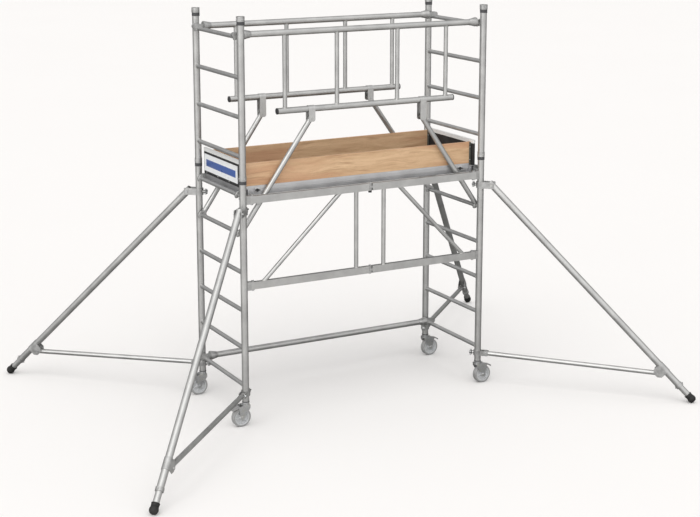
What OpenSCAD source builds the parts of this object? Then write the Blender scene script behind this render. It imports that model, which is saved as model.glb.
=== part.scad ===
// Mobile aluminium access tower section.
// Two ladder end frames, each a lower and an upper frame plugged together, are tied by a folding
// girder, a bottom brace, a platform and two guardrails. Castors and telescopic outriggers carry it.
// +X runs along the tower, +Y from its front to its back, +Z up from the ground.

/* [Tower] */
// Distance between the stile axes along the tower
tower_length = 1782; // [1500:1:2600]
// Distance between the stile axes across the tower
tower_width = 708; // [640:1:1400]
// Height of the lowest rung above the ground
first_rung_height = 265; // [262:1:330]
// Distance from one rung to the next
rung_pitch = 250; // [240:1:300]
// Number of rungs in a lower frame
lower_rung_count = 6; // [5:1:8]
// Number of rungs in an upper frame
upper_rung_count = 4; // [4:1:6]

/* [End frames] */
// Outer diameter of a stile
stile_d = 45; // [40:0.5:50]
// Wall of a stile
stile_wall = 2; // [1.5:0.1:3]
// Outer diameter of a rung
rung_d = 28; // [25:0.5:32]
// Wall of a rung
rung_wall = 1.8; // [1.2:0.1:3]
// Stile length below the lowest rung
stile_below = 100; // [98:1:120]
// Stile length above the highest rung of a frame
stile_above = 132.5; // [110:0.5:200]
// Bore of the socket at each end of a stile
socket_d = 41.5; // [41.2:0.1:42]
// Depth of that socket
socket_depth = 110; // [105:1:200]
// Outer diameter of the spigot that joins two stiles
spigot_d = 41; // [40:0.1:41]
// Wall of that spigot
spigot_wall = 3; // [2:0.5:5]
// Length of the spigot inside each stile
spigot_depth = 100; // [60:1:104]
// Outer diameter of the sleeve where an upper frame sits on a lower one
sleeve_d = 49.5; // [48.5:0.5:56]
// Outer diameter of the sleeve at the tower's top
top_sleeve_d = 53; // [51:0.5:56]
// Height of that sleeve
sleeve_height = 32; // [20:1:40]
// Outer diameter of the locking ring below a sleeve
ring_d = 49; // [48:0.5:56]
// Height of the locking ring
ring_height = 22; // [12:1:30]

/* [Folding girder] */
// Height of the top chord's axis below the platform rung
girder_drop = 25; // [10:1:28]
// Distance between the two chord axes
girder_depth = 560; // [300:1:700]
// Height of a chord tube
chord_height = 48; // [40:1:60]
// Depth of a chord tube, front to back
chord_depth = 28; // [28:1:36]
// Wall of a chord tube
chord_wall = 2; // [1.5:0.1:3]
// Distance of a chord's end pin from the stile axis
chord_pin_offset = 60; // [50:1:90]
// Diameter of the girder's hinge pins
chord_pin_d = 10; // [8:0.5:12]
// Position of the centre hinge along the tower
girder_hinge_x = 25; // [-60:1:60]
// Distance of an upright from the centre hinge
post_offset = 103; // [60:1:160]
// Diameter of the uprights and diagonals
girder_tube_d = 28; // [20:0.5:28]
// Wall of the uprights and diagonals
girder_tube_wall = 1.5; // [1.2:0.1:2.5]
// Distance of a diagonal's upper end from the centre hinge
diagonal_top = 230; // [160:1:300]
// Distance of a diagonal's lower end from the stile axis
diagonal_bottom = 145; // [110:1:250]

/* [Platform] */
// Overall width of the platform over its side rails
platform_width = 576; // [480:1:576]
// Width of a side rail
rail_width = 26; // [24:1:30]
// Height of a side rail without its lip
rail_height = 48; // [44:1:60]
// Height of the lip that holds the toeboard
lip_height = 12; // [8:1:30]
// Thickness of the deck panel and trapdoor
deck_thickness = 10; // [9:0.5:15]
// Height of the deck's top above the platform rung's axis
deck_rise = 38; // [36:1:60]
// Distance of an end beam's outer face from the rung axis
beam_setback = 31; // [30:1:60]
// Width of an end beam
beam_width = 24; // [20:1:40]
// Distance of a platform claw's axis from the stile axis
platform_claw_inset = 54; // [52:1:58]
// Length of the trapdoor opening
trap_length = 600; // [500:1:620]
// Width of the trapdoor opening
trap_width = 430; // [400:1:440]
// Distance of the trapdoor opening from the tower's middle
trap_start = 150; // [60:1:170]
// Clearance around the trapdoor
trap_gap = 2; // [1:0.5:5]

/* [Toeboards] */
// Height of a side toeboard
toeboard_height = 158; // [150:1:170]
// Thickness of a side toeboard
toeboard_thickness = 18; // [15:0.5:18]
// Height of an end toeboard without its cap
end_board_height = 150; // [140:1:160]
// Thickness of an end toeboard
end_board_thickness = 12; // [9:0.5:12]
// Distance of an end toeboard's outer face from the rung axis
end_board_setback = 25; // [23:1:31]
// Height of the capping strip on an end toeboard
board_cap_height = 24; // [15:1:30]
// Thickness of the sign panel on the left end toeboard
sign_thickness = 2; // [1:0.5:3]
// Width of the sign panel
sign_width = 530; // [300:1:540]
// Height of the sign panel
sign_height = 114; // [60:1:120]

/* [Guardrails] */
// Distance of a guardrail's plane from the stile axes
guard_inset = 43; // [40:1:46]
// Height of the top rail's axis above the top rung's axis
rail_rise = 15; // [12:1:20]
// Diameter of the top and lower rails
guard_rail_d = 40; // [36:0.5:40]
// Wall of the top and lower rails
guard_rail_wall = 2; // [1.5:0.1:3]
// Distance of the lower rail's axis below the top rail's axis
lower_rail_drop = 497.5; // [400:0.5:520]
// Length of the lower rail
lower_rail_length = 1300; // [1200:1:1340]
// Offset of the lower rail's middle from the tower's middle
lower_rail_shift = 27; // [0:1:40]
// Diameter of the guardrail uprights
upright_d = 28; // [25:0.5:32]
// Wall of the guardrail uprights
upright_wall = 1.5; // [1.2:0.1:2.5]
// Distance of the inner uprights from the lower rail's middle
inner_upright_x = 224; // [150:1:300]
// Distance of the outer uprights from the lower rail's middle
outer_upright_x = 597; // [480:1:620]
// Distance of the strut brackets from the lower rail's middle
bracket_x = 415; // [360:1:460]
// Width of a strut bracket
bracket_width = 46; // [36:1:60]
// Plate thickness of a strut bracket
bracket_plate = 3; // [2:0.5:5]
// Length of the long bracket below the lower rail's axis
long_bracket = 135; // [110:1:180]
// Length of the short bracket below the lower rail's axis
short_bracket = 82; // [70:1:105]
// Diameter of a guardrail strut
strut_d = 34; // [30:0.5:36]
// Wall of a guardrail strut
strut_wall = 1.8; // [1.2:0.1:2.5]

/* [Claws and bottom brace] */
// Width of a claw along its rung
claw_width = 30; // [24:1:32]
// Wall of a claw around its rung
claw_wall = 6; // [4:0.5:8]
// Distance from the rung axis to the end of the tube on a claw
claw_reach = 42; // [36:1:60]
// Height of a claw's neck
claw_neck = 26; // [20:1:28]
// Length of a claw's shank inside its tube
claw_shank = 45; // [30:1:80]
// Distance from the rung axis to the end of a rail claw's nose
nose_reach = 42; // [24:1:44]
// Distance of the bottom brace from the rear stile axes
brace_inset = 54; // [50:1:120]
// Diameter of the bottom brace
brace_d = 40; // [36:0.5:42]
// Wall of the bottom brace
brace_wall = 2; // [1.5:0.1:3]

/* [Castors] */
// Diameter of a castor wheel
wheel_d = 125; // [100:1:128]
// Width of a wheel's tread
wheel_width = 38; // [30:1:42]
// Distance of the axle from the swivel axis
castor_trail = 35; // [25:1:45]
// Diameter of the axle
axle_d = 12; // [10:0.5:14]
// Inside width of the fork
fork_gap = 50; // [48:1:56]
// Plate thickness of the fork
fork_plate = 4; // [3:0.5:6]
// Diameter of the swivel pin
kingpin_d = 20; // [16:0.5:24]
// Height of the dark collar under each stile
collar_height = 5; // [3:0.5:8]
// Length of the brake pedal from its pin
pedal_length = 50; // [40:1:70]

/* [Outriggers] */
// Direction of the outriggers from the tower's length
outrigger_yaw = 45; // [30:1:60]
// Height of the middle of the upper clamp above the ground
upper_clamp_height = 1420; // [1380:1:1425]
// Height of the middle of the lower clamp above the ground
lower_clamp_height = 220; // [215:1:225]
// Height of the upper clamp body
upper_clamp_size = 45; // [36:1:50]
// Height of the lower clamp body
lower_clamp_size = 34; // [30:1:36]
// Wall of a clamp around its stile
clamp_wall = 7; // [5:0.5:9]
// Distance of the leg's pivot from the stile axis
leg_pivot_offset = 80; // [75:1:100]
// Slope of the leg below the horizontal
leg_slope = 44.9; // [42:0.1:50]
// Outer diameter of the leg's outer tube
leg_d = 45; // [40:0.5:48]
// Wall of the leg's outer tube
leg_wall = 2; // [1.5:0.1:3]
// Outer diameter of the telescopic tube
slider_d = 40; // [36:0.5:40]
// Wall of the telescopic tube
slider_wall = 2; // [1.5:0.1:3]
// Length of the telescopic tube inside the leg
slider_hidden = 620; // [500:1:800]
// Length of the telescopic tube that shows
slider_visible = 70; // [40:1:120]
// Distance between the telescopic tube's adjusting holes
hole_pitch = 50; // [40:1:80]
// Diameter of those holes
hole_d = 9; // [7:0.5:12]
// Radius of the foot's round end
foot_radius = 28; // [26:1:32]
// Length of the foot's collar
foot_collar = 40; // [30:1:60]
// Diameter of the outrigger brace
tie_d = 32; // [28:0.5:36]
// Wall of the outrigger brace
tie_wall = 1.8; // [1.2:0.1:2.5]
// Distance of the brace's inner pivot from the stile axis
tie_pivot_offset = 62; // [55:1:75]
// Distance of the brace's outer pivot along the leg
tie_station = 1694; // [1500:1:1740]
// Distance of that pivot below the leg's axis
tie_drop = 51; // [46:1:60]
// Radius of a star knob over its lobes
knob_radius = 20; // [16:1:22]

/* [Clearances] */
// Gap between pieces that move on each other
run_gap = 0.3; // [0.2:0.05:0.5]
// Gap between a pin and its bore
pin_gap = 0.1; // [0.05:0.01:0.1]
// Gap between fixed pieces that meet
seat_gap = 0.1; // [0.05:0.05:0.3]

/* [Hidden] */
$fn = 48;
eps = 1;

CORNERS = [[-1, -1], [1, -1], [-1, 1], [1, 1]];
CORNER_NAMES = ["front_left", "front_right", "back_left", "back_right"];

ALUMINIUM = [0.78, 0.78, 0.76];
CAST = [0.68, 0.68, 0.67];
ZINC = [0.62, 0.63, 0.64];
DARK = [0.15, 0.15, 0.15];
WOOD = [0.78, 0.6, 0.42];
WHEEL = [0.8, 0.8, 0.8];

half_length = tower_length / 2;
half_width = tower_width / 2;
stile_r = stile_d / 2;
rung_r = rung_d / 2;

// Heights
function rung_height(n) = first_rung_height + (n - 1) * rung_pitch;
platform_rung_z = rung_height(lower_rung_count);
top_rung_z = rung_height(lower_rung_count + upper_rung_count);
collar_overhang = 1.5;
stile_foot_z = first_rung_height - stile_below;
joint_z = platform_rung_z + stile_above;
stile_top_z = top_rung_z + stile_above;

// Girder
chord_overhang = 14;
chord_zs = [platform_rung_z - girder_drop, platform_rung_z - girder_drop - girder_depth];
chord_end_x = half_length - chord_pin_offset;
knuckle_r = chord_depth / 2;
lug_plate = 4;
hinge_plug = 30;

// Platform
profile_wall = 2.5;
hinge_strip = 62;
platform_end_x = half_length - beam_setback;
rail_end_x = platform_end_x - beam_width;
deck_z = platform_rung_z + deck_rise;
rail_inner_y = platform_width / 2 - rail_width;
lip_thickness = 4;
ledge = 12;
deck_bottom_z = deck_z - deck_thickness;
beam_end_y = half_width - platform_claw_inset + claw_width / 2;
beam_top_z = deck_z - 2;
trap_end = trap_start + trap_length;
trap_hinge_y = rail_inner_y - hinge_strip;
trap_front_y = trap_hinge_y - trap_width;
cross_bar_width = 40;
cross_bar_height = 30;
trap_seat = 10;
hinge_r = 5.5;
hinge_leaf = 2.5;
hinge_width = 60;
knuckle_third = hinge_width / 3;
hinge_leaf_length = 32;
hinge_pin_r = 2.5;
hinge_axis_z = deck_z + seat_gap + hinge_r;
hinge_xs = [trap_start + 120, trap_end - 120];
handle_rod_d = 8;
handle_width = 110;
handle_length = 60;
handle_x = trap_start + trap_length / 2;
handle_y = trap_front_y + 90;
handle_z = deck_z + seat_gap + handle_rod_d / 2 + 2;

// Toeboards
board_outer_x = half_length - end_board_setback;
board_inner_x = board_outer_x - end_board_thickness;
board_bottom_z = beam_top_z + seat_gap;
board_end_y = beam_end_y;
cap_lip = 2;

// Wind locks
lock_thickness = 5;
lock_pin_d = 6;
lock_pivot = [21, 22];
lock_inner_y = beam_end_y + run_gap;

// Guardrails
guard_y = half_width - guard_inset;
top_rail_z = top_rung_z + rail_rise;
lower_rail_z = top_rail_z - lower_rail_drop;
strut_rung_z = platform_rung_z - rung_pitch;
strut_pin_d = 8;
strut_pin_margin = 20;
bracket_r = guard_rail_d / 2 + seat_gap;
claw_r = rung_r + run_gap + claw_wall;

// Castors
axle_z = wheel_d / 2;
wheel_clearance = 6;
crown_bottom_z = wheel_d + wheel_clearance;
crown_top_z = stile_foot_z - collar_height - run_gap;
pedal_pin_x = castor_trail + 17;
pedal_pin_z = crown_bottom_z - 1;
pedal_pin_d = 6;
fork_outer = fork_gap + 2 * fork_plate;

// Outriggers
leg_dir = [cos(leg_slope), 0, -sin(leg_slope)];
leg_down = [-sin(leg_slope), 0, -cos(leg_slope)];
leg_pivot = [leg_pivot_offset, 0, upper_clamp_height];
foot_station = (upper_clamp_height - foot_radius) / sin(leg_slope);
foot_start = foot_station - foot_collar;
leg_end = foot_start - slider_visible;
leg_start = -25;
collar_length = 24;
tie_start = [tie_pivot_offset, 0, lower_clamp_height];
tie_end = leg_pivot + tie_station * leg_dir + tie_drop * leg_down;
leg_pin_d = 10;
clamp_r = stile_r + run_gap + clamp_wall;
clamp_plate = 5;
knob_stud_d = 10;
knob_boss_d = 20;
knob_boss_end = clamp_r + 8;
knob_start = knob_boss_end + 4;
knob_length = 14;

// ---------------------------------------------------------------- helpers

// Tube along +Z from the origin.
module tube(outer_d, wall, length) {
    difference() {
        cylinder(d = outer_d, h = length);
        translate([0, 0, -eps])
            cylinder(d = outer_d - 2 * wall, h = length + 2 * eps);
    }
}

// Ring around +Z from the origin up.
module ring(outer_r, inner_r, height) {
    difference() {
        cylinder(r = outer_r, h = height);
        translate([0, 0, -eps])
            cylinder(r = inner_r, h = height + 2 * eps);
    }
}

// Turns children that lie along +Z so that they run from a towards b.
module along(a, b) {
    v = b - a;
    translate(a)
        rotate([0, acos(v.z / norm(v)), atan2(v.y, v.x)])
            children();
}

// Round rod between two points.
module rod(a, b, diameter) {
    along(a, b)
        cylinder(d = diameter, h = norm(b - a));
}

// Rod along Y, centred at the point at.
module cross_pin(at, diameter, length) {
    translate(at)
        rotate([90, 0, 0])
            cylinder(d = diameter, h = length, center = true);
}

// Outline in the XZ plane made into a plate that is centred at y.
module xz_plate(thickness, y) {
    translate([0, y + thickness / 2, 0])
        rotate([90, 0, 0])
            linear_extrude(thickness)
                children();
}

// Box given by its two corners.
module box(low, high) {
    translate(low)
        cube(high - low);
}

// Puts children at the foot of a stile, with +X pointing along the outrigger.
module at_outrigger(corner) {
    translate([corner.x * half_length, corner.y * half_width, 0])
        rotate([0, 0, atan2(corner.y * sin(outrigger_yaw), corner.x * cos(outrigger_yaw))])
            children();
}

// Puts children under a stile, with +X pointing the way the castor trails.
module at_castor(corner) {
    translate([corner.x * half_length, corner.y * half_width, 0])
        rotate([0, 0, corner.x < 0 ? 180 : 0])
            children();
}

// The front guardrail and the back one, which is the front one turned round.
module both_guardrails() {
    for (turn = [0, 180])
        rotate([0, 0, turn])
            translate([0, -guard_y, 0])
                children();
}

// ---------------------------------------------------------------- end frames

module stile(bottom_z, top_z) {
    for (corner = CORNERS)
        translate([corner.x * half_length, corner.y * half_width, 0])
            difference() {
                translate([0, 0, bottom_z])
                    tube(stile_d, stile_wall, top_z - bottom_z);
                translate([0, 0, bottom_z - eps])
                    cylinder(d = socket_d, h = socket_depth + eps);
                translate([0, 0, top_z - socket_depth])
                    cylinder(d = socket_d, h = socket_depth + eps);
            }
}

// Tubes between the stiles, their ends cut to the stiles' round.
module rungs(first, count) {
    for (side = [-1, 1], n = [first : first + count - 1])
        translate([side * half_length, 0, rung_height(n)])
            difference() {
                rotate([90, 0, 0])
                    difference() {
                        cylinder(d = rung_d, h = tower_width, center = true);
                        cylinder(d = rung_d - 2 * rung_wall, h = tower_width + eps, center = true);
                    }
                for (end = [-1, 1])
                    translate([0, end * half_width, -rung_d])
                        cylinder(r = stile_r + seat_gap, h = 2 * rung_d);
            }
}

module lower_stiles() {
    color(ALUMINIUM)
        stile(stile_foot_z, joint_z);
}

module upper_stiles() {
    color(ALUMINIUM)
        stile(joint_z, stile_top_z);
}

module lower_rungs() {
    color(ALUMINIUM)
        rungs(1, lower_rung_count);
}

module upper_rungs() {
    color(ALUMINIUM)
        rungs(lower_rung_count + 1, upper_rung_count);
}

// Tops of the lower and upper stiles, each with the diameter of the sleeve there.
function sleeve_tops() = [[joint_z, sleeve_d], [stile_top_z, top_sleeve_d]];

module stile_sleeves() {
    color(ALUMINIUM)
        for (corner = CORNERS, top = sleeve_tops())
            translate([corner.x * half_length, corner.y * half_width, top[0] - sleeve_height])
                ring(top[1] / 2, stile_r + seat_gap, sleeve_height);
}

// Locking rings under the sleeves, and the collars between the stiles and their castors.
module lock_rings() {
    color(DARK)
        for (corner = CORNERS)
            translate([corner.x * half_length, corner.y * half_width, 0]) {
                for (top = sleeve_tops())
                    translate([0, 0, top[0] - sleeve_height - ring_height - seat_gap])
                        ring(ring_d / 2, stile_r + seat_gap, ring_height);
                translate([0, 0, stile_foot_z - collar_height])
                    ring(stile_r + collar_overhang, kingpin_d / 2 + seat_gap, collar_height - seat_gap);
            }
}

// Spigots inside the joint between the frames, and the castor stems in the stiles' feet.
module stile_spigots() {
    color(ZINC)
        for (corner = CORNERS)
            translate([corner.x * half_length, corner.y * half_width, 0]) {
                translate([0, 0, joint_z - spigot_depth])
                    tube(spigot_d, spigot_wall, 2 * spigot_depth);
                castor_stem();
            }
}

// Plug in the stile, the swivel pin below it and the head that holds the fork.
module castor_stem() {
    head_height = 3.8;
    head_d = kingpin_d + 8;
    translate([0, 0, stile_foot_z])
        cylinder(d = spigot_d, h = spigot_depth);
    translate([0, 0, crown_bottom_z - run_gap])
        cylinder(d = kingpin_d, h = stile_foot_z - crown_bottom_z + run_gap + eps);
    translate([0, 0, crown_bottom_z - run_gap - head_height])
        cylinder(d = head_d, h = head_height);
}

// ---------------------------------------------------------------- folding girder

// Flat tube between two points of a chord's axis.
module chord_tube(x_from, x_to, z) {
    inner = [chord_depth - 2 * chord_wall, chord_height - 2 * chord_wall];
    difference() {
        translate([x_from, -half_width - chord_depth / 2, z - chord_height / 2])
            cube([x_to - x_from, chord_depth, chord_height]);
        translate([x_from - eps, -half_width - inner.x / 2, z - inner.y / 2])
            cube([x_to - x_from + 2 * eps, inner.x, inner.y]);
        for (end = [-1, 1])
            translate([end * chord_end_x, -half_width, z - chord_height])
                cylinder(d = chord_pin_d + 2 * pin_gap, h = 2 * chord_height);
    }
}

module girder_chords() {
    color(ALUMINIUM)
        for (z = chord_zs) {
            chord_tube(-chord_end_x - chord_overhang, girder_hinge_x - knuckle_r - seat_gap, z);
            chord_tube(girder_hinge_x + knuckle_r + seat_gap, chord_end_x + chord_overhang, z);
        }
}

// Uprights and diagonals, cut level with the chords they meet.
module girder_bracing() {
    low_z = chord_zs[1] + chord_height / 2 + seat_gap;
    high_z = chord_zs[0] - chord_height / 2 - seat_gap;
    color(ALUMINIUM)
        for (side = [-1, 1]) {
            translate([girder_hinge_x + side * post_offset, -half_width, low_z])
                tube(girder_tube_d, girder_tube_wall, high_z - low_z);
            intersection() {
                diagonal(side, low_z, high_z);
                box([-half_length, -half_width - chord_depth, low_z],
                    [half_length, -half_width + chord_depth, high_z]);
            }
        }
}

module diagonal(side, low_z, high_z) {
    low = [side * (half_length - diagonal_bottom), -half_width, low_z];
    high = [girder_hinge_x + side * diagonal_top, -half_width, high_z];
    unit = (high - low) / norm(high - low);
    along(low - girder_tube_d * unit, high)
        tube(girder_tube_d, girder_tube_wall, norm(high - low) + 2 * girder_tube_d);
}

// End brackets on the front stiles, the centre knuckles and all the vertical pins.
module girder_hinges() {
    color(CAST)
        for (z = chord_zs) {
            for (side = [-1, 1])
                end_bracket(side, z);
            centre_knuckles(z);
        }
    color(ZINC)
        for (z = chord_zs) {
            for (x = [-chord_end_x, chord_end_x])
                hinge_pin(x, z, chord_height + 2 * (lug_plate + seat_gap));
            hinge_pin(girder_hinge_x, z, chord_height);
        }
}

// Block coped to the stile, with a lug above the chord and one below it.
module end_bracket(side, z) {
    lug_low = chord_height / 2 + seat_gap;
    lug_high = lug_low + lug_plate;
    block_end = chord_end_x + chord_overhang + seat_gap;
    difference() {
        union() {
            for (sign = [-1, 1])
                translate([0, -half_width, z + sign * (lug_low + lug_high) / 2 - lug_plate / 2]) {
                    translate([side * chord_end_x, 0, 0])
                        cylinder(r = knuckle_r, h = lug_plate);
                    translate([side > 0 ? chord_end_x : -half_length, -knuckle_r, 0])
                        cube([half_length - chord_end_x, 2 * knuckle_r, lug_plate]);
                }
            translate([side > 0 ? block_end : -half_length, -half_width - knuckle_r, z - lug_high])
                cube([half_length - block_end, 2 * knuckle_r, 2 * lug_high]);
        }
        translate([side * half_length, -half_width, z - chord_height])
            cylinder(r = stile_r + seat_gap, h = 2 * chord_height);
        translate([side * chord_end_x, -half_width, z - chord_height])
            cylinder(d = chord_pin_d + 2 * pin_gap, h = 2 * chord_height);
    }
}

// Left leaf with an upper and a lower knuckle, right leaf with the one between them.
module centre_knuckles(z) {
    third = chord_height / 3;
    plug = [hinge_plug, chord_depth - 2 * chord_wall - 2 * seat_gap,
            chord_height - 2 * chord_wall - 2 * seat_gap];
    for (side = [-1, 1])
        translate([girder_hinge_x, -half_width, z])
            difference() {
                union() {
                    for (level = side < 0 ? [-1, 1] : [0])
                        translate([0, 0, level * third]) {
                            cylinder(r = knuckle_r, h = third - 2 * run_gap, center = true);
                            translate([side * knuckle_r / 2, 0, 0])
                                cube([knuckle_r, chord_depth, third - 2 * run_gap], center = true);
                        }
                    translate([side * (knuckle_r + hinge_plug / 2 - eps), 0, 0])
                        cube(plug, center = true);
                }
                cylinder(d = chord_pin_d + 2 * pin_gap, h = chord_height + eps, center = true);
                if (side < 0)
                    cylinder(r = knuckle_r + run_gap, h = third, center = true);
                if (side > 0)
                    for (level = [-1, 1])
                        translate([0, 0, level * third])
                            cylinder(r = knuckle_r + run_gap, h = third, center = true);
            }
}

// Vertical pin through a stack of the given height, with a flat head on top.
module hinge_pin(x, z, stack) {
    head = 3;
    head_d = chord_pin_d + 6;
    translate([x, -half_width, z - stack / 2 - head])
        cylinder(d = chord_pin_d, h = stack + head);
    translate([x, -half_width, z + stack / 2 + seat_gap])
        cylinder(d = head_d, h = head);
    translate([x, -half_width, z + stack / 2])
        cylinder(d = chord_pin_d, h = eps);
}

// Lock knob on the lower end of the upper centre pin.
module girder_knob() {
    knob_d = 23;
    height = 14;
    groove_d = 6;
    socket = 6;
    top_z = chord_zs[0] - chord_height / 2 - run_gap;
    color(DARK)
        translate([girder_hinge_x, -half_width, top_z - height])
            difference() {
                cylinder(d = knob_d, h = height);
                for (turn = [0 : 60 : 300])
                    rotate([0, 0, turn])
                        translate([knob_d / 2 + groove_d / 4, 0, -eps])
                            cylinder(d = groove_d, h = height + 2 * eps);
                translate([0, 0, height - socket])
                    cylinder(d = chord_pin_d + 2 * pin_gap, h = socket + eps);
            }
}

// ---------------------------------------------------------------- claws and bottom brace

// Space of the rung, which lies along Y through the origin, and the mouth below it.
module claw_cut() {
    gap_r = rung_r + run_gap;
    cross_pin([0, 0, 0], 2 * gap_r, claw_width + 2 * eps);
    box([-gap_r, -claw_width / 2 - eps, -claw_r - eps], [gap_r, claw_width / 2 + eps, 0]);
}

// Rounded nose on the outer side of a rail's claw.
module claw_nose() {
    nose_r = 17;
    end_x = nose_r - nose_reach;
    cross_pin([end_x, 0, rail_rise], 2 * nose_r, claw_width);
    box([end_x, -claw_width / 2, rail_rise - nose_r], [0, claw_width / 2, rail_rise + nose_r]);
}

// Claw on the end of a tube that leaves it along +X, turned up by tilt and raised by rise.
module tube_claw(tube_d, tube_wall, tilt, rise) {
    collar = 8;
    difference() {
        union() {
            cross_pin([0, 0, 0], 2 * claw_r, claw_width);
            if (tilt == 0)
                claw_nose();
            rotate([0, -tilt, 0])
                translate([0, 0, rise]) {
                    box([0, -claw_width / 2, -claw_neck / 2],
                        [claw_reach - collar, claw_width / 2, claw_neck / 2]);
                    translate([claw_reach - collar - eps, 0, 0])
                        rotate([0, 90, 0])
                            cylinder(d = tube_d, h = collar + eps - seat_gap);
                    translate([claw_reach - eps, 0, 0])
                        rotate([0, 90, 0])
                            cylinder(d = tube_d - 2 * tube_wall - 2 * seat_gap, h = claw_shank + eps);
                }
        }
        claw_cut();
    }
}

// Claw bolted to the platform's end beam.
module platform_claw() {
    arm_z = [-8, beam_top_z - platform_rung_z - 2];
    difference() {
        union() {
            cross_pin([0, 0, 0], 2 * claw_r, claw_width);
            box([0, -claw_width / 2, arm_z[0]],
                [beam_setback - seat_gap, claw_width / 2, arm_z[1]]);
        }
        claw_cut();
    }
}

module hook_claws() {
    color(CAST) {
        both_guardrails()
            for (side = [-1, 1]) {
                translate([side * half_length, 0, top_rung_z])
                    rotate([0, 0, side > 0 ? 180 : 0])
                        tube_claw(guard_rail_d, guard_rail_wall, 0, rail_rise);
                translate([side * half_length, 0, strut_rung_z])
                    rotate([0, 0, side > 0 ? 180 : 0])
                        tube_claw(strut_d, strut_wall, strut_tilt(side), 0);
            }
        for (side = [-1, 1])
            translate([side * half_length, half_width - brace_inset, first_rung_height])
                rotate([0, 0, side > 0 ? 180 : 0])
                    tube_claw(brace_d, brace_wall, 0, rail_rise);
        for (corner = CORNERS)
            translate([corner.x * half_length, corner.y * (half_width - platform_claw_inset),
                       platform_rung_z])
                rotate([0, 0, corner.x > 0 ? 180 : 0])
                    platform_claw();
    }
    color(ZINC)
        for (corner = [CORNERS[0], CORNERS[3]])
            lock_stub(corner);
}

module bottom_brace() {
    end_x = half_length - claw_reach;
    color(ALUMINIUM)
        translate([-end_x, half_width - brace_inset, first_rung_height + rail_rise])
            rotate([0, 90, 0])
                tube(brace_d, brace_wall, 2 * end_x);
}

// ---------------------------------------------------------------- wind locks

// Puts children at a platform claw's rung, with +X inwards along the tower.
module at_wind_lock(corner) {
    translate([corner.x * half_length, 0, platform_rung_z])
        mirror([corner.x > 0 ? 1 : 0, 0, 0])
            children();
}

// Pin on the claw's side that carries a wind lock, with its head.
module lock_stub(corner) {
    head = 2;
    head_d = lock_pin_d + 5;
    length = lock_thickness + 2 * run_gap;
    at_wind_lock(corner)
        translate([lock_pivot.x, corner.y * (lock_inner_y - run_gap), lock_pivot.y])
            rotate([corner.y > 0 ? -90 : 90, 0, 0]) {
                cylinder(d = lock_pin_d, h = length + eps);
                translate([0, 0, length])
                    cylinder(d = head_d, h = head);
            }
}

// Lever that reaches under the rung, so that wind cannot lift the platform.
module wind_lock(corner) {
    arm_x = [16, 26];
    finger_z = [-24, -17];
    finger_x = [-14, -10];
    eye_r = 8;
    color(ZINC)
        at_wind_lock(corner)
            difference() {
                xz_plate(lock_thickness, corner.y * (lock_inner_y + lock_thickness / 2)) {
                    translate(lock_pivot)
                        circle(r = eye_r);
                    polygon([
                        [arm_x[0], lock_pivot.y], [arm_x[0], finger_z[1]], [finger_x[1], finger_z[1]],
                        [finger_x[0], finger_z[1] - 3], [finger_x[0] + 2, finger_z[0]],
                        [arm_x[1] - 4, finger_z[0]], [arm_x[1], finger_z[0] + 4],
                        [arm_x[1], lock_pivot.y]
                    ]);
                }
                cross_pin([lock_pivot.x, corner.y * lock_inner_y, lock_pivot.y],
                          lock_pin_d + 2 * pin_gap, 4 * lock_thickness);
            }
}

// ---------------------------------------------------------------- platform

// Side rail outline in YZ, for the rail on the +Y side.
module rail_outline() {
    outer = platform_width / 2;
    bottom = beam_top_z - rail_height;
    ledge_top = deck_bottom_z - seat_gap;
    ledge_tip = 5;
    ledge_root = 8;
    difference() {
        polygon([
            [rail_inner_y, bottom], [outer, bottom], [outer, beam_top_z + lip_height],
            [outer - lip_thickness, beam_top_z + lip_height], [outer - lip_thickness, beam_top_z],
            [rail_inner_y, beam_top_z], [rail_inner_y, ledge_top],
            [rail_inner_y - ledge, ledge_top], [rail_inner_y - ledge, ledge_top - ledge_tip],
            [rail_inner_y, ledge_top - ledge_root]
        ]);
        translate([rail_inner_y + profile_wall, bottom + profile_wall])
            square([rail_width - 2 * profile_wall, rail_height - 2 * profile_wall]);
    }
}

// Rectangular hollow section along Y, centred on the origin.
module cross_profile(width, length, height) {
    difference() {
        cube([width, length, height], center = true);
        cube([width - 2 * profile_wall, length + eps, height - 2 * profile_wall], center = true);
    }
}

module platform_beams() {
    bar_end_y = rail_inner_y - ledge - seat_gap;
    bar_top_z = deck_bottom_z - seat_gap;
    color(ALUMINIUM) {
        for (side = [0, 1])
            mirror([0, side, 0])
                translate([-rail_end_x + seat_gap, 0, 0])
                    rotate([90, 0, 90])
                        linear_extrude(2 * rail_end_x - 2 * seat_gap)
                            rail_outline();
        for (side = [-1, 1])
            translate([side * (platform_end_x - beam_width / 2), 0, beam_top_z - rail_height / 2])
                cross_profile(beam_width, 2 * beam_end_y, rail_height);
        for (x = cross_bar_xs())
            translate([x, 0, bar_top_z - cross_bar_height / 2])
                cross_profile(cross_bar_width, 2 * bar_end_y, cross_bar_height);
    }
}

// One bar under each end of the trapdoor, whose edge rests on it, and two under the fixed deck.
function cross_bar_xs() = [
    -2 * rail_end_x / 3, -rail_end_x / 4,
    trap_start + trap_seat - cross_bar_width / 2, trap_end - trap_seat + cross_bar_width / 2
];

module deck_panel() {
    end_x = rail_end_x - seat_gap;
    side_y = rail_inner_y - seat_gap;
    color([0.42, 0.3, 0.2])
        difference() {
            box([-end_x, -side_y, deck_bottom_z], [end_x, side_y, deck_z]);
            box([trap_start, trap_front_y, deck_bottom_z - eps], [trap_end, trap_hinge_y, deck_z + eps]);
        }
}

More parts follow.
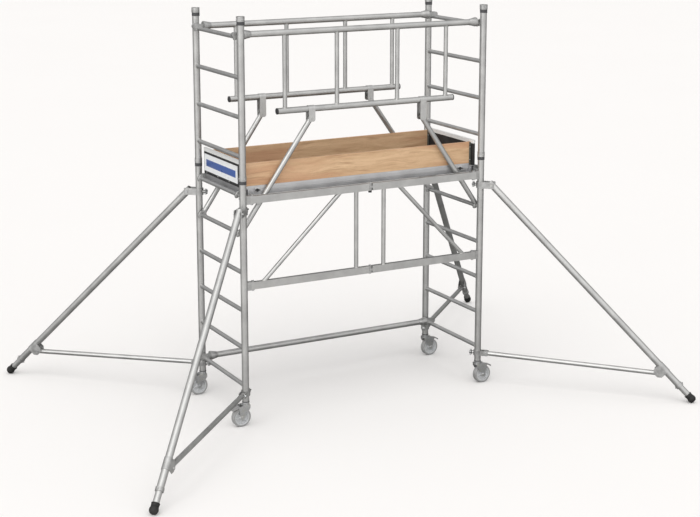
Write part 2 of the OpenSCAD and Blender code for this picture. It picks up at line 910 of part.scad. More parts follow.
module trapdoor() {
    color([0.45, 0.33, 0.22])
        box([trap_start + trap_gap, trap_front_y + trap_gap, deck_bottom_z + run_gap],
            [trap_end - trap_gap, trap_hinge_y - trap_gap, deck_z]);
    color(ZINC) {
        for (x = hinge_xs)
            moving_leaf(x);
        for (side = [-1, 1])
            handle_lug(side);
    }
}

// Leaf on the trapdoor with the middle knuckle.
module moving_leaf(x) {
    width = knuckle_third - 2 * run_gap;
    translate([x, trap_hinge_y, 0])
        difference() {
            union() {
                translate([-width / 2, 0, hinge_axis_z])
                    rotate([0, 90, 0])
                        cylinder(r = hinge_r, h = width);
                box([-width / 2, -hinge_leaf_length, deck_z + seat_gap],
                    [width / 2, 0, deck_z + seat_gap + hinge_leaf]);
            }
            translate([-width, 0, hinge_axis_z])
                rotate([0, 90, 0])
                    cylinder(r = hinge_pin_r + pin_gap, h = 2 * width);
        }
}

// Leaves on the fixed deck with the outer knuckles, and the hinge pins.
module deck_hinges() {
    color(ZINC)
        for (x = hinge_xs)
            translate([x, trap_hinge_y, 0]) {
                difference() {
                    union() {
                        for (side = [-1, 1])
                            translate([side * knuckle_third, 0, hinge_axis_z])
                                rotate([0, 90, 0])
                                    cylinder(r = hinge_r, h = knuckle_third, center = true);
                        box([-hinge_width / 2, 0, deck_z + seat_gap],
                            [hinge_width / 2, hinge_leaf_length, deck_z + seat_gap + hinge_leaf]);
                    }
                    translate([-hinge_width, 0, hinge_axis_z])
                        rotate([0, 90, 0])
                            cylinder(r = hinge_pin_r + pin_gap, h = 2 * hinge_width);
                    box([-knuckle_third / 2, -hinge_r - eps, deck_z],
                        [knuckle_third / 2, hinge_r + run_gap, hinge_axis_z + hinge_r + eps]);
                }
                translate([-hinge_width / 2 - 1, 0, hinge_axis_z])
                    rotate([0, 90, 0])
                        cylinder(r = hinge_pin_r, h = hinge_width + 2);
            }
}

// Lug on the trapdoor that holds one end of the handle.
module handle_lug(side) {
    thickness = 4;
    length = 18;
    height = 12;
    x = handle_x + side * (handle_width / 2 + handle_rod_d / 2 + run_gap + thickness / 2);
    difference() {
        translate([x - thickness / 2, handle_y - length / 2, deck_z + seat_gap])
            cube([thickness, length, height]);
        translate([x - thickness, handle_y, handle_z])
            rotate([0, 90, 0])
                cylinder(d = handle_rod_d - 2 + 2 * pin_gap, h = 2 * thickness);
    }
}

// Bail that lies on the trapdoor and swings up to lift it.
module trapdoor_handle() {
    color(ZINC)
        translate([handle_x, handle_y, handle_z]) {
            for (side = [-1, 1]) {
                rod([side * handle_width / 2, 0, 0], [side * handle_width / 2, handle_length, 0],
                    handle_rod_d);
                for (y = [0, handle_length])
                    translate([side * handle_width / 2, y, 0])
                        sphere(d = handle_rod_d);
                rod([side * handle_width / 2, 0, 0], [side * (handle_width / 2 + 8), 0, 0],
                    handle_rod_d - 2);
            }
            rod([-handle_width / 2, handle_length, 0], [handle_width / 2, handle_length, 0],
                handle_rod_d);
        }
}

// ---------------------------------------------------------------- toeboards

module side_toeboards() {
    outer_y = platform_width / 2 - lip_thickness - seat_gap;
    end_x = board_inner_x - cap_lip - seat_gap;
    color(WOOD)
        for (side = [0, 1])
            mirror([0, side, 0])
                box([-end_x, outer_y - toeboard_thickness, board_bottom_z],
                    [end_x, outer_y, board_bottom_z + toeboard_height]);
}

module end_toeboards() {
    color(DARK)
        for (side = [0, 1])
            mirror([side, 0, 0])
                box([board_inner_x, -board_end_y, board_bottom_z],
                    [board_outer_x, board_end_y, board_bottom_z + end_board_height]);
}

// Light strip on the top edge of each end toeboard.
module toeboard_caps() {
    low_z = board_bottom_z + end_board_height + seat_gap;
    color(ALUMINIUM)
        for (side = [0, 1])
            mirror([side, 0, 0])
                box([board_inner_x - cap_lip, -board_end_y, low_z],
                    [board_outer_x + cap_lip, board_end_y, low_z + board_cap_height]);
}

// Blank white panel on the left end toeboard.
module sign_panel() {
    centre_y = 40;
    low_z = board_bottom_z + 20;
    color([0.93, 0.94, 0.95])
        box([-board_outer_x - sign_thickness - seat_gap, centre_y - sign_width / 2, low_z],
            [-board_outer_x - seat_gap, centre_y + sign_width / 2, low_z + sign_height]);
}

// ---------------------------------------------------------------- guardrails

// Where a strut is pinned to its bracket. Side -1 has the short bracket.
function strut_pin(side) = [
    lower_rail_shift + side * bracket_x, 0,
    lower_rail_z - (side < 0 ? short_bracket : long_bracket) + strut_pin_margin
];
function strut_foot(side) = [side * half_length, 0, strut_rung_z];
function strut_tilt(side) =
    atan2(strut_pin(side).z - strut_rung_z, half_length - abs(strut_pin(side).x));

// Upright between the rails, both ends cut to the rails' round.
module guard_upright(x) {
    difference() {
        translate([x, 0, lower_rail_z])
            tube(upright_d, upright_wall, lower_rail_drop);
        for (z = [lower_rail_z, top_rail_z])
            translate([x - upright_d, 0, z])
                rotate([0, 90, 0])
                    cylinder(d = guard_rail_d + 2 * seat_gap, h = 2 * upright_d);
    }
}

module guardrail_frames() {
    top_end = half_length - claw_reach;
    color(ALUMINIUM)
        both_guardrails() {
            translate([-top_end, 0, top_rail_z])
                rotate([0, 90, 0])
                    tube(guard_rail_d, guard_rail_wall, 2 * top_end);
            translate([lower_rail_shift - lower_rail_length / 2, 0, lower_rail_z])
                rotate([0, 90, 0])
                    tube(guard_rail_d, guard_rail_wall, lower_rail_length);
            for (x = [-outer_upright_x, -inner_upright_x, inner_upright_x, outer_upright_x])
                guard_upright(lower_rail_shift + x);
        }
}

module guardrail_struts() {
    color(ALUMINIUM)
        both_guardrails()
            for (side = [-1, 1]) {
                pin = strut_pin(side);
                foot = strut_foot(side);
                unit = (pin - foot) / norm(pin - foot);
                difference() {
                    along(foot + claw_reach * unit, pin)
                        tube(strut_d, strut_wall, norm(pin - foot) - claw_reach + strut_pin_margin);
                    cross_pin(pin, strut_pin_d + 2 * pin_gap, 2 * strut_d);
                }
            }
}

// Folded plate that hangs on the lower rail and takes the strut between its two sides.
module strut_bracket(side) {
    pin = strut_pin(side);
    outer_r = bracket_r + bracket_plate;
    bottom = pin.z - strut_pin_margin;
    difference() {
        union() {
            translate([pin.x - bracket_width / 2, 0, lower_rail_z])
                rotate([0, 90, 0])
                    cylinder(r = outer_r, h = bracket_width);
            box([pin.x - bracket_width / 2, -outer_r, bottom],
                [pin.x + bracket_width / 2, outer_r, lower_rail_z]);
        }
        translate([pin.x - bracket_width, 0, lower_rail_z])
            rotate([0, 90, 0])
                cylinder(r = bracket_r, h = 2 * bracket_width);
        box([pin.x - bracket_width, -bracket_r, bottom - eps],
            [pin.x + bracket_width, bracket_r, lower_rail_z]);
        cross_pin(pin, strut_pin_d + 2 * pin_gap, 4 * outer_r);
        for (end = [-1, 1])
            translate([pin.x + end * bracket_width / 2, 0, bottom])
                rotate([0, 45, 0])
                    cube([14, 3 * outer_r, 14], center = true);
    }
}

module guardrail_brackets() {
    head = 3;
    reach = bracket_r + bracket_plate + seat_gap;
    color(CAST)
        both_guardrails()
            for (side = [-1, 1])
                strut_bracket(side);
    color(ZINC)
        both_guardrails()
            for (side = [-1, 1]) {
                cross_pin(strut_pin(side), strut_pin_d, 2 * reach);
                for (end = [-1, 1])
                    cross_pin(strut_pin(side) + [0, end * (reach + head / 2), 0],
                              strut_pin_d + 6, head);
            }
}

// Plastic plugs in the ends of the lower rails.
module rail_end_caps() {
    plug = 20;
    flange = 6;
    color(DARK)
        both_guardrails()
            for (side = [0, 1])
                translate([lower_rail_shift, 0, lower_rail_z])
                    mirror([side, 0, 0])
                        translate([lower_rail_length / 2, 0, 0])
                            rotate([0, 90, 0]) {
                                translate([0, 0, -plug])
                                    cylinder(d = guard_rail_d - 2 * guard_rail_wall - 2 * seat_gap,
                                             h = plug + seat_gap + eps);
                                translate([0, 0, seat_gap])
                                    cylinder(d = guard_rail_d + 1, h = flange);
                            }
}

// ---------------------------------------------------------------- castors

// Side plate of the fork, from the crown down to the axle and out to the pedal's pin.
module fork_outline() {
    difference() {
        union() {
            polygon([
                [-20, crown_top_z - 14], [24, crown_top_z - 14], [pedal_pin_x, pedal_pin_z + 9],
                [pedal_pin_x + 8, pedal_pin_z - 5], [castor_trail + 13, axle_z + 4],
                [castor_trail - 13, axle_z + 4], [-20, crown_bottom_z - 8]
            ]);
            translate([castor_trail, axle_z])
                circle(r = 14);
            translate([pedal_pin_x, pedal_pin_z])
                circle(r = 9);
        }
        translate([castor_trail, axle_z])
            circle(d = axle_d + 2 * seat_gap);
        translate([pedal_pin_x, pedal_pin_z])
            circle(d = pedal_pin_d + 2 * pin_gap);
    }
}

module castor_fork(corner) {
    color(ZINC)
        at_castor(corner) {
            difference() {
                union() {
                    for (side = [-1, 1])
                        xz_plate(fork_plate, side * (fork_gap + fork_plate) / 2)
                            fork_outline();
                    box([-20, -fork_outer / 2, crown_bottom_z], [26, fork_outer / 2, crown_bottom_z + 6]);
                    translate([0, 0, crown_bottom_z])
                        cylinder(r = stile_r + 1, h = crown_top_z - crown_bottom_z);
                }
                translate([0, 0, crown_bottom_z - 20])
                    cylinder(d = kingpin_d + 2 * pin_gap, h = 60);
            }
            cross_pin([castor_trail, 0, axle_z], axle_d, fork_outer + 2);
            for (end = [-1, 1])
                translate([castor_trail, end * (fork_outer / 2 + 4 + seat_gap), axle_z])
                    rotate([90, 0, 0])
                        cylinder(d = axle_d + 9, h = 8 - seat_gap, center = true, $fn = 6);
        }
}

// Hub with a web and rim, and the tread around it.
module castor_wheel(corner) {
    tread = 12;
    rim_r = wheel_d / 2 - tread;
    hub_r = 17;
    hub_width = fork_gap - 4 * run_gap;
    dish = 10;
    color(WHEEL)
        at_castor(corner)
            translate([castor_trail, 0, axle_z])
                rotate([90, 0, 0]) {
                    difference() {
                        union() {
                            cylinder(r = rim_r, h = wheel_width - 4, center = true);
                            cylinder(r = hub_r, h = hub_width, center = true);
                        }
                        for (end = [-1, 1])
                            translate([0, 0, end * (wheel_width / 2 - 2)])
                                difference() {
                                    cylinder(r = rim_r - 7, h = 2 * dish, center = true);
                                    cylinder(r = hub_r, h = 3 * dish, center = true);
                                }
                        cylinder(d = axle_d + 2 * pin_gap, h = fork_gap, center = true);
                    }
                    rotate_extrude()
                        tread_outline(rim_r + seat_gap, wheel_d / 2);
                }
}

// Section of the tread, with rounded shoulders.
module tread_outline(inner_r, outer_r) {
    shoulder = 6;
    half = wheel_width / 2;
    union() {
        translate([inner_r, -half + shoulder])
            square([outer_r - inner_r, wheel_width - 2 * shoulder]);
        translate([inner_r, -half])
            square([outer_r - inner_r - shoulder, wheel_width]);
        for (end = [-1, 1])
            translate([outer_r - shoulder, end * (half - shoulder)])
                circle(r = shoulder);
    }
}

// Pedal with its pin and the shoe that meets the tread when the pedal is pressed.
module brake_pedal(corner) {
    boss_width = fork_gap - 6 * run_gap;
    half = boss_width / 2 - 1;
    plate_z = [1, 5];
    lip = [4, 5];
    shoe_x = [10, 20];
    slope = 18;
    color(ZINC)
        at_castor(corner)
            translate([pedal_pin_x, 0, pedal_pin_z]) {
                cross_pin([0, 0, 0], 2 * pedal_pin_d, boss_width);
                cross_pin([0, 0, 0], pedal_pin_d, fork_outer + 2);
                rotate([0, slope, 0]) {
                    box([0, -half, plate_z[0]], [pedal_length, half, plate_z[1]]);
                    box([pedal_length - lip.x, -half, plate_z[0] - lip.y], [pedal_length, half, plate_z[1]]);
                    box([shoe_x[0], -wheel_width / 2, plate_z[0] - 4],
                        [shoe_x[1], wheel_width / 2, plate_z[1] - eps]);
                }
            }
}

// ---------------------------------------------------------------- outriggers

// Split ring around the stile with a bored boss for the knob's stud on its inner side.
module clamp_ring(height, size) {
    translate([0, 0, height - size / 2])
        cylinder(r = clamp_r, h = size);
    translate([0, 0, height])
        rotate([0, -90, 0])
            cylinder(d = knob_boss_d, h = knob_boss_end);
}

module clamp_bores(height, size) {
    translate([0, 0, height - size])
        cylinder(r = stile_r + run_gap, h = 2 * size);
    translate([0, 0, height])
        rotate([0, -90, 0])
            cylinder(d = knob_stud_d + 2 * pin_gap, h = 2 * clamp_r + knob_boss_end);
}

// Pair of plates from the ring out to a pivot, with the tube of the given diameter between them.
module clamp_cheeks(pivot, size, tube_d) {
    inner_y = tube_d / 2 + seat_gap;
    margin = size / 2 - 4;
    for (side = [-1, 1])
        xz_plate(clamp_plate, side * (inner_y + clamp_plate / 2))
            union() {
                translate([0, pivot.z - size / 2])
                    square([pivot.x, size]);
                translate([pivot.x, pivot.z - size / 2 + 4])
                    square([margin, size - 8]);
                for (end = [-1, 1])
                    translate([pivot.x + margin - 4, pivot.z + end * (size / 2 - 4)])
                        circle(r = 4);
                translate([pivot.x, pivot.z - size / 2])
                    square([margin - 4, size]);
            }
}

// Clamp with its cheeks, cut clear of the stile and of the tube it holds.
module clamp(pivot, size, tube_d) {
    difference() {
        union() {
            clamp_ring(pivot.z, size);
            clamp_cheeks(pivot, size, tube_d);
            box([0, -tube_d / 2 - seat_gap - clamp_plate, pivot.z - size / 2],
                [clamp_r + 2, tube_d / 2 + seat_gap + clamp_plate, pivot.z + size / 2]);
        }
        clamp_bores(pivot.z, size);
        cross_pin(pivot, leg_pin_d + 2 * seat_gap, 4 * tube_d);
    }
}

// Bolt along Y through a pivot, with a head and a nut.
module pivot_bolt(at, grip) {
    head = 6;
    cross_pin(at, leg_pin_d, grip + 2 * seat_gap);
    for (end = [-1, 1])
        translate(at + [0, end * (grip / 2 + seat_gap + head / 2), 0])
            rotate([90, 0, 0])
                cylinder(d = leg_pin_d + 8, h = head, center = true, $fn = 6);
}

// Folded plate over the leg that holds the outer end of the brace.
module leg_bracket() {
    length = 76;
    outer_r = leg_d / 2 + seat_gap + bracket_plate;
    depth = tie_drop + tie_d / 2;
    along(leg_pivot, leg_pivot + leg_dir)
        translate([0, 0, tie_station])
            difference() {
                union() {
                    translate([0, 0, -length / 2])
                        cylinder(r = outer_r, h = length);
                    box([0, -outer_r, -length / 2], [depth, outer_r, length / 2]);
                }
                translate([0, 0, -length])
                    cylinder(d = leg_d + 2 * seat_gap, h = 2 * length);
                box([0, -outer_r + bracket_plate, -length], [2 * depth, outer_r - bracket_plate, length]);
                cross_pin([tie_drop, 0, 0], leg_pin_d + 2 * seat_gap, 3 * outer_r);
                for (end = [-1, 1])
                    translate([depth, 0, end * length / 2])
                        rotate([0, 45, 0])
                            cube([30, 3 * outer_r, 30], center = true);
            }
}

module leg_tube() {
    along(leg_pivot + leg_start * leg_dir, leg_pivot + leg_dir)
        difference() {
            tube(leg_d, leg_wall, leg_end - leg_start);
            cross_pin([0, 0, -leg_start], leg_pin_d + 2 * seat_gap, 2 * leg_d);
            translate([0, 0, leg_end - leg_start - collar_length / 2])
                rotate([0, 90, 0])
                    cylinder(d = hole_d + 2 * seat_gap, h = 2 * leg_d, center = true);
        }
}

// Collar at the leg's lower end, with the two buttons that lock the telescopic tube.
module leg_collar() {
    button_length = 12;
    along(leg_pivot, leg_pivot + leg_dir) {
        translate([0, 0, leg_end - collar_length])
            difference() {
                tube(leg_d + 8, 4 - seat_gap, collar_length);
                translate([-leg_d, 0, collar_length / 2])
                    rotate([0, 90, 0])
                        cylinder(d = hole_d + 2 * seat_gap, h = 2 * leg_d);
            }
        for (end = [-1, 1])
            translate([end * (slider_d / 2 + run_gap), 0, leg_end - collar_length / 2])
                rotate([0, end * 90, 0])
                    cylinder(d = hole_d, h = button_length);
    }
}

module tie_tube() {
    reach = 14;
    unit = (tie_end - tie_start) / norm(tie_end - tie_start);
    difference() {
        along(tie_start - reach * unit, tie_end)
            tube(tie_d, tie_wall, norm(tie_end - tie_start) + 2 * reach);
        for (pivot = [tie_start, tie_end])
            cross_pin(pivot, leg_pin_d + 2 * seat_gap, 2 * tie_d);
    }
}

module outrigger_leg(corner) {
    at_outrigger(corner) {
        color(ALUMINIUM) {
            leg_tube();
            tie_tube();
            leg_bracket();
        }
        color(CAST) {
            clamp(leg_pivot, upper_clamp_size, leg_d);
            clamp(tie_start, lower_clamp_size, tie_d);
            leg_collar();
        }
        color(ZINC) {
            pivot_bolt(leg_pivot, leg_d + 2 * clamp_plate + 2 * seat_gap);
            pivot_bolt(tie_start, tie_d + 2 * clamp_plate + 2 * seat_gap);
            pivot_bolt(tie_end, leg_d + 2 * bracket_plate + 2 * seat_gap);
        }
    }
}

// Telescopic tube with a row of adjusting holes.
module outrigger_slider(corner) {
    end = foot_station - 6;
    start = leg_end - slider_hidden;
    first_hole = start + 60;
    color(ALUMINIUM)
        at_outrigger(corner)
            along(leg_pivot, leg_pivot + leg_dir)
                difference() {
                    translate([0, 0, start])
                        tube(slider_d, slider_wall, end - start);
                    for (s = [first_hole : hole_pitch : leg_end - collar_length - hole_pitch])
                        translate([-slider_d, 0, s])
                            rotate([0, 90, 0])
                                cylinder(d = hole_d, h = 2 * slider_d);
                }
}

// Rubber foot: a ribbed collar around the tube and a round end that meets the ground.
module outrigger_foot(corner) {
    collar_r = slider_d / 2 + 4;
    flat = 22;
    groove = 3;
    color(DARK)
        at_outrigger(corner)
            along(leg_pivot, leg_pivot + leg_dir)
                translate([0, 0, foot_station])
                    difference() {
                        union() {
                            translate([0, 0, -foot_collar])
                                cylinder(r = collar_r, h = foot_collar);
                            translate([0, 0, -foot_collar])
                                cylinder(r = collar_r + 1.5, h = 6);
                            intersection() {
                                sphere(r = foot_radius);
                                translate([0, 0, -14])
                                    cylinder(r = foot_radius + eps, h = flat + 14);
                            }
                        }
                        translate([0, 0, -20])
                            ring(collar_r + 10, collar_r - groove, groove);
                        translate([0, 0, -foot_collar - eps])
                            cylinder(d = slider_d + 2 * seat_gap, h = foot_collar + eps - 6 + seat_gap);
                    }
}

// Star knob with its stud, which lies in the clamp's boss.
module star_knob(corner, height) {
    lobe_r = 6;
    color(DARK)
        at_outrigger(corner)
            translate([0, 0, height])
                rotate([0, -90, 0]) {
                    translate([0, 0, stile_r + run_gap])
                        cylinder(d = knob_stud_d, h = knob_start - stile_r);
                    translate([0, 0, knob_start]) {
                        cylinder(r = knob_radius - lobe_r, h = knob_length);
                        for (turn = [0 : 72 : 288])
                            rotate([0, 0, turn])
                                translate([knob_radius - lobe_r, 0, 1])
                                    cylinder(r = lobe_r, h = knob_length - 2);
                    }
                }
}

// ---------------------------------------------------------------- nodes

lower_stiles();
upper_stiles();
lower_rungs();
upper_rungs();
stile_sleeves();
lock_rings();
stile_spigots();
girder_chords();
girder_bracing();
girder_hinges();
girder_knob();
bottom_brace();
platform_beams();
deck_panel();
trapdoor();
trapdoor_handle();
deck_hinges();
side_toeboards();
end_toeboards();
toeboard_caps();
sign_panel();
guardrail_frames();
guardrail_struts();
guardrail_brackets();
hook_claws();
rail_end_caps();
wind_lock(CORNERS[0]);  // wind_lock_left
wind_lock(CORNERS[3]);  // wind_lock_right
for (i = [0 : 3]) {
    castor_fork(CORNERS[i]);
    castor_wheel(CORNERS[i]);
    brake_pedal(CORNERS[i]);
    outrigger_leg(CORNERS[i]);
    outrigger_slider(CORNERS[i]);
    outrigger_foot(CORNERS[i]);
    star_knob(CORNERS[i], upper_clamp_height);
    star_knob(CORNERS[i], lower_clamp_height);
}
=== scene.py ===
"""Looks of the access tower section: materials, welds, fixings, floor, light and camera."""
import math

import bmesh
import bpy
from mathutils import Matrix, Vector


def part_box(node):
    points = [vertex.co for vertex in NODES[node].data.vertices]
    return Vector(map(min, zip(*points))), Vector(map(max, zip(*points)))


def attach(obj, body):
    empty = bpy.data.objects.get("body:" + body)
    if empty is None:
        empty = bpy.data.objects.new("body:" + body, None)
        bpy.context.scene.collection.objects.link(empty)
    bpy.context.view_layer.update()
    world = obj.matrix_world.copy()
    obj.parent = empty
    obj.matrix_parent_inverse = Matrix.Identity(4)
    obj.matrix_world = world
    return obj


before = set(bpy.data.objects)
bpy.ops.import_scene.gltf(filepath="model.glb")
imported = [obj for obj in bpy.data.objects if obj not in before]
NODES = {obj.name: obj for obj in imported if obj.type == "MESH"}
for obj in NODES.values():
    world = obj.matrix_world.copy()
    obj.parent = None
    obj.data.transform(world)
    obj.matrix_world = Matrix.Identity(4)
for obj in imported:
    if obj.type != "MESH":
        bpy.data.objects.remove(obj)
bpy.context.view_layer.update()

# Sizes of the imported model, in metres
HALF_LENGTH = 0.891
HALF_WIDTH = 0.354
STILE_R = 0.0225
RUNG_R = 0.014
RUNG_ZS = [0.265 + 0.25 * i for i in range(10)]
CORNERS = {
    "front_left": (-1, -1), "front_right": (1, -1), "back_left": (-1, 1), "back_right": (1, 1),
}
GUARD_Y = 0.311
TOP_RAIL_Z = 2.530
LOWER_RAIL_Z = 2.0325
RAIL_R = 0.020
RAIL_SHIFT = 0.027
UPRIGHT_R = 0.014
UPRIGHT_XS = (-0.597, -0.224, 0.224, 0.597)
CHORD_ZS = (1.490, 0.930)
CHORD_HALF = (0.014, 0.024)
HINGE_X = 0.025
END_HINGE_X = 0.831
BRACE_Y = 0.300
BRACE_Z = 0.280
POST_OFFSET = 0.103
DECK_Z = 1.553
LEG_SLOPE = math.radians(44.9)
LEG_PIVOT = (0.080, 1.420)
LEG_R = 0.0225
TIE_PIVOT = (0.062, 0.220)
TIE_STATION = 1.694
TIE_DROP = 0.051
TIE_R = 0.016
AXLE_Z = 0.0625
CASTOR_TRAIL = 0.035
TREAD_INNER_R = 0.0506
FORK_CROWN_Z = 0.1368
FORK_RIVET_Z = 0.1335
FORK_HALF_WIDTH = 0.029
BRAKE_PIN = (0.052, 0.130)
PEDAL_SLOPE = math.radians(18)
KNOB_REACH = 0.0558
HINGE_PIN_R = 0.0085
LEG_BOLT_R = 0.0105
BRACKET_FACE = 0.0232
SMALL_RIVET_R = 0.0036
SKIN = 0.0002


# ---------------------------------------------------------------- material nodes

class Material:
    """A Principled material and short calls for the nodes that feed it."""

    def __init__(self, name):
        self.data = bpy.data.materials.new(name)
        self.data.use_nodes = True
        self.nodes = self.data.node_tree.nodes
        self.links = self.data.node_tree.links
        self.shader = self.nodes["Principled BSDF"]
        self.coordinates = self.nodes.new("ShaderNodeTexCoord").outputs["Object"]

    def set(self, **values):
        for name, value in values.items():
            self.shader.inputs[name.replace("_", " ").title().replace("Ior", "IOR")].default_value = value

    def feed(self, socket, value):
        """Links value to a socket, or sets it if it is a number or a colour."""
        if isinstance(value, bpy.types.NodeSocket):
            self.links.new(value, socket)
        else:
            socket.default_value = value

    def aligned(self, axis):
        """Object coordinates turned so that the third one runs along axis."""
        along = Vector(axis).normalized()
        helper = Vector((1, 0, 0)) if abs(along.x) < 0.8 else Vector((0, 1, 0))
        across = along.cross(helper).normalized()
        join = self.nodes.new("ShaderNodeCombineXYZ")
        for i, direction in enumerate((across, along.cross(across), along)):
            dot = self.nodes.new("ShaderNodeVectorMath")
            dot.operation = "DOT_PRODUCT"
            self.links.new(self.coordinates, dot.inputs[0])
            dot.inputs[1].default_value = direction
            self.links.new(dot.outputs["Value"], join.inputs[i])
        return join.outputs[0]

    def scaled(self, vector, scale):
        mapping = self.nodes.new("ShaderNodeMapping")
        mapping.inputs["Scale"].default_value = scale
        self.links.new(vector, mapping.inputs["Vector"])
        return mapping.outputs[0]

    def noise(self, vector, scale, detail=3.0, roughness=0.55, distortion=0.0):
        node = self.nodes.new("ShaderNodeTexNoise")
        self.links.new(self.scaled(vector, scale), node.inputs["Vector"])
        node.inputs["Scale"].default_value = 1.0
        node.inputs["Detail"].default_value = detail
        node.inputs["Roughness"].default_value = roughness
        node.inputs["Distortion"].default_value = distortion
        return node.outputs["Fac"]

    def cells(self, vector, scale, feature="F1"):
        node = self.nodes.new("ShaderNodeTexVoronoi")
        node.feature = feature
        node.inputs["Scale"].default_value = 1.0
        self.links.new(self.scaled(vector, scale), node.inputs["Vector"])
        return node.outputs["Distance"]

    def wave(self, vector, scale, distortion=0.0, detail=2.0):
        node = self.nodes.new("ShaderNodeTexWave")
        node.bands_direction = "X"
        node.inputs["Scale"].default_value = 1.0
        node.inputs["Distortion"].default_value = distortion
        node.inputs["Detail"].default_value = detail
        self.links.new(self.scaled(vector, scale), node.inputs["Vector"])
        return node.outputs["Fac"]

    def span(self, value, low, high, to_low, to_high):
        """Value from low..high laid on to_low..to_high."""
        node = self.nodes.new("ShaderNodeMapRange")
        limits = {"From Min": low, "From Max": high, "To Min": to_low, "To Max": to_high}
        for name, number in limits.items():
            node.inputs[name].default_value = number
        self.feed(node.inputs["Value"], value)
        return node.outputs["Result"]

    def math(self, operation, a, b):
        node = self.nodes.new("ShaderNodeMath")
        node.operation = operation
        self.feed(node.inputs[0], a)
        self.feed(node.inputs[1], b)
        return node.outputs[0]

    def mix(self, factor, a, b):
        node = self.nodes.new("ShaderNodeMix")
        node.data_type = "RGBA"
        self.feed(node.inputs["Factor"], factor)
        self.feed(node.inputs["A"], a)
        self.feed(node.inputs["B"], b)
        return node.outputs["Result"]

    def bump(self, height, strength, distance, normal=None):
        node = self.nodes.new("ShaderNodeBump")
        node.inputs["Strength"].default_value = strength
        node.inputs["Distance"].default_value = distance
        self.links.new(height, node.inputs["Height"])
        if normal is not None:
            self.links.new(normal, node.inputs["Normal"])
        return node.outputs["Normal"]

    def surface(self, color=None, roughness=None, normal=None):
        for name, value in (("Base Color", color), ("Roughness", roughness), ("Normal", normal)):
            if value is not None:
                self.feed(self.shader.inputs[name], value)
        return self.data


def rgb(r, g, b):
    return (r, g, b, 1.0)


EDGE_TINT = (0.42, 0.42, 0.42, 1.0)


def extruded(name, axis, light, dark, roughness=0.40):
    """Extruded aluminium: fine lines along axis, dull patches and handling marks."""
    m = Material(name)
    m.set(metallic=0.92, specular_tint=EDGE_TINT)
    v = m.aligned(axis)
    lines = m.noise(v, (620, 620, 2.5), detail=4)
    patches = m.noise(m.coordinates, (9, 9, 9), detail=4, roughness=0.6)
    marks = m.noise(v, (150, 150, 26), detail=5, roughness=0.7)
    scuffs = m.span(marks, 0.60, 0.70, 0.0, 1.0)
    color = m.mix(m.span(patches, 0.3, 0.7, 0.0, 1.0), rgb(*dark), rgb(*light))
    color = m.mix(m.math("MULTIPLY", scuffs, 0.35), color, rgb(*[c * 0.72 for c in dark]))
    rough = m.math("ADD", m.span(patches, 0.3, 0.7, roughness - 0.05, roughness + 0.08),
                   m.math("MULTIPLY", scuffs, 0.16))
    normal = m.bump(lines, 0.16, 0.0004)
    normal = m.bump(marks, 0.10, 0.0005, normal)
    return m.surface(color, rough, normal)


def ribbed(name, light, dark):
    """Rung: extruded along Y, with grip ribs along it and bright worn patches."""
    m = Material(name)
    m.set(metallic=0.92, specular_tint=EDGE_TINT)
    patches = m.noise(m.coordinates, (10, 6, 10), detail=4)
    ribs = m.noise(m.coordinates, (330, 1.5, 330), detail=1)
    worn = m.span(m.noise(m.coordinates, (60, 14, 60), detail=4), 0.5, 0.68, 0.0, 1.0)
    color = m.mix(m.span(patches, 0.3, 0.7, 0.0, 1.0), rgb(*dark), rgb(*light))
    color = m.mix(m.math("MULTIPLY", worn, 0.4), color, rgb(0.80, 0.80, 0.79))
    return m.surface(color, m.span(worn, 0.0, 1.0, 0.42, 0.28), m.bump(ribs, 0.55, 0.0011))


def cast(name, light, dark, grain=420, roughness=0.5):
    """Sand-cast aluminium: a pebbled skin with brighter high spots."""
    m = Material(name)
    m.set(metallic=1.0)
    pebbles = m.noise(m.coordinates, (grain, grain, grain), detail=5, roughness=0.65)
    patches = m.noise(m.coordinates, (30, 30, 30), detail=3)
    color = m.mix(m.span(patches, 0.32, 0.68, 0.0, 1.0), rgb(*dark), rgb(*light))
    color = m.mix(m.span(pebbles, 0.56, 0.74, 0.0, 0.5), color, rgb(*[min(1.0, c * 1.3) for c in light]))
    return m.surface(color, m.span(patches, 0.3, 0.7, roughness - 0.08, roughness + 0.08),
                     m.bump(pebbles, 0.4, 0.0007))


def zinc(name, tint=(0.60, 0.61, 0.62)):
    """Zinc-plated steel: crystal patches of slightly different grey with a faint yellow passivation."""
    m = Material(name)
    m.set(metallic=1.0)
    crystals = m.cells(m.coordinates, (160, 160, 160))
    haze = m.noise(m.coordinates, (45, 45, 45), detail=4)
    color = m.mix(m.span(crystals, 0.1, 0.8, 0.0, 1.0), rgb(*[c * 0.82 for c in tint]), rgb(*tint))
    color = m.mix(m.span(haze, 0.45, 0.7, 0.0, 0.35), color, rgb(0.60, 0.57, 0.46))
    return m.surface(color, m.span(haze, 0.3, 0.7, 0.26, 0.44), m.bump(crystals, 0.12, 0.0004))


def moulded(name, color, roughness, grain=700, wear=(0.2, 0.2, 0.2)):
    """Moulded plastic: fine spark-eroded grain and worn, dusty patches."""
    m = Material(name)
    m.set(specular_ior_level=0.45)
    skin = m.noise(m.coordinates, (grain, grain, grain), detail=3)
    dust = m.noise(m.coordinates, (24, 24, 24), detail=5, roughness=0.62)
    tone = m.mix(m.span(dust, 0.42, 0.72, 0.0, 0.45), rgb(*color), rgb(*wear))
    return m.surface(tone, m.span(dust, 0.3, 0.7, roughness - 0.07, roughness + 0.09),
                     m.bump(skin, 0.3, 0.0005))


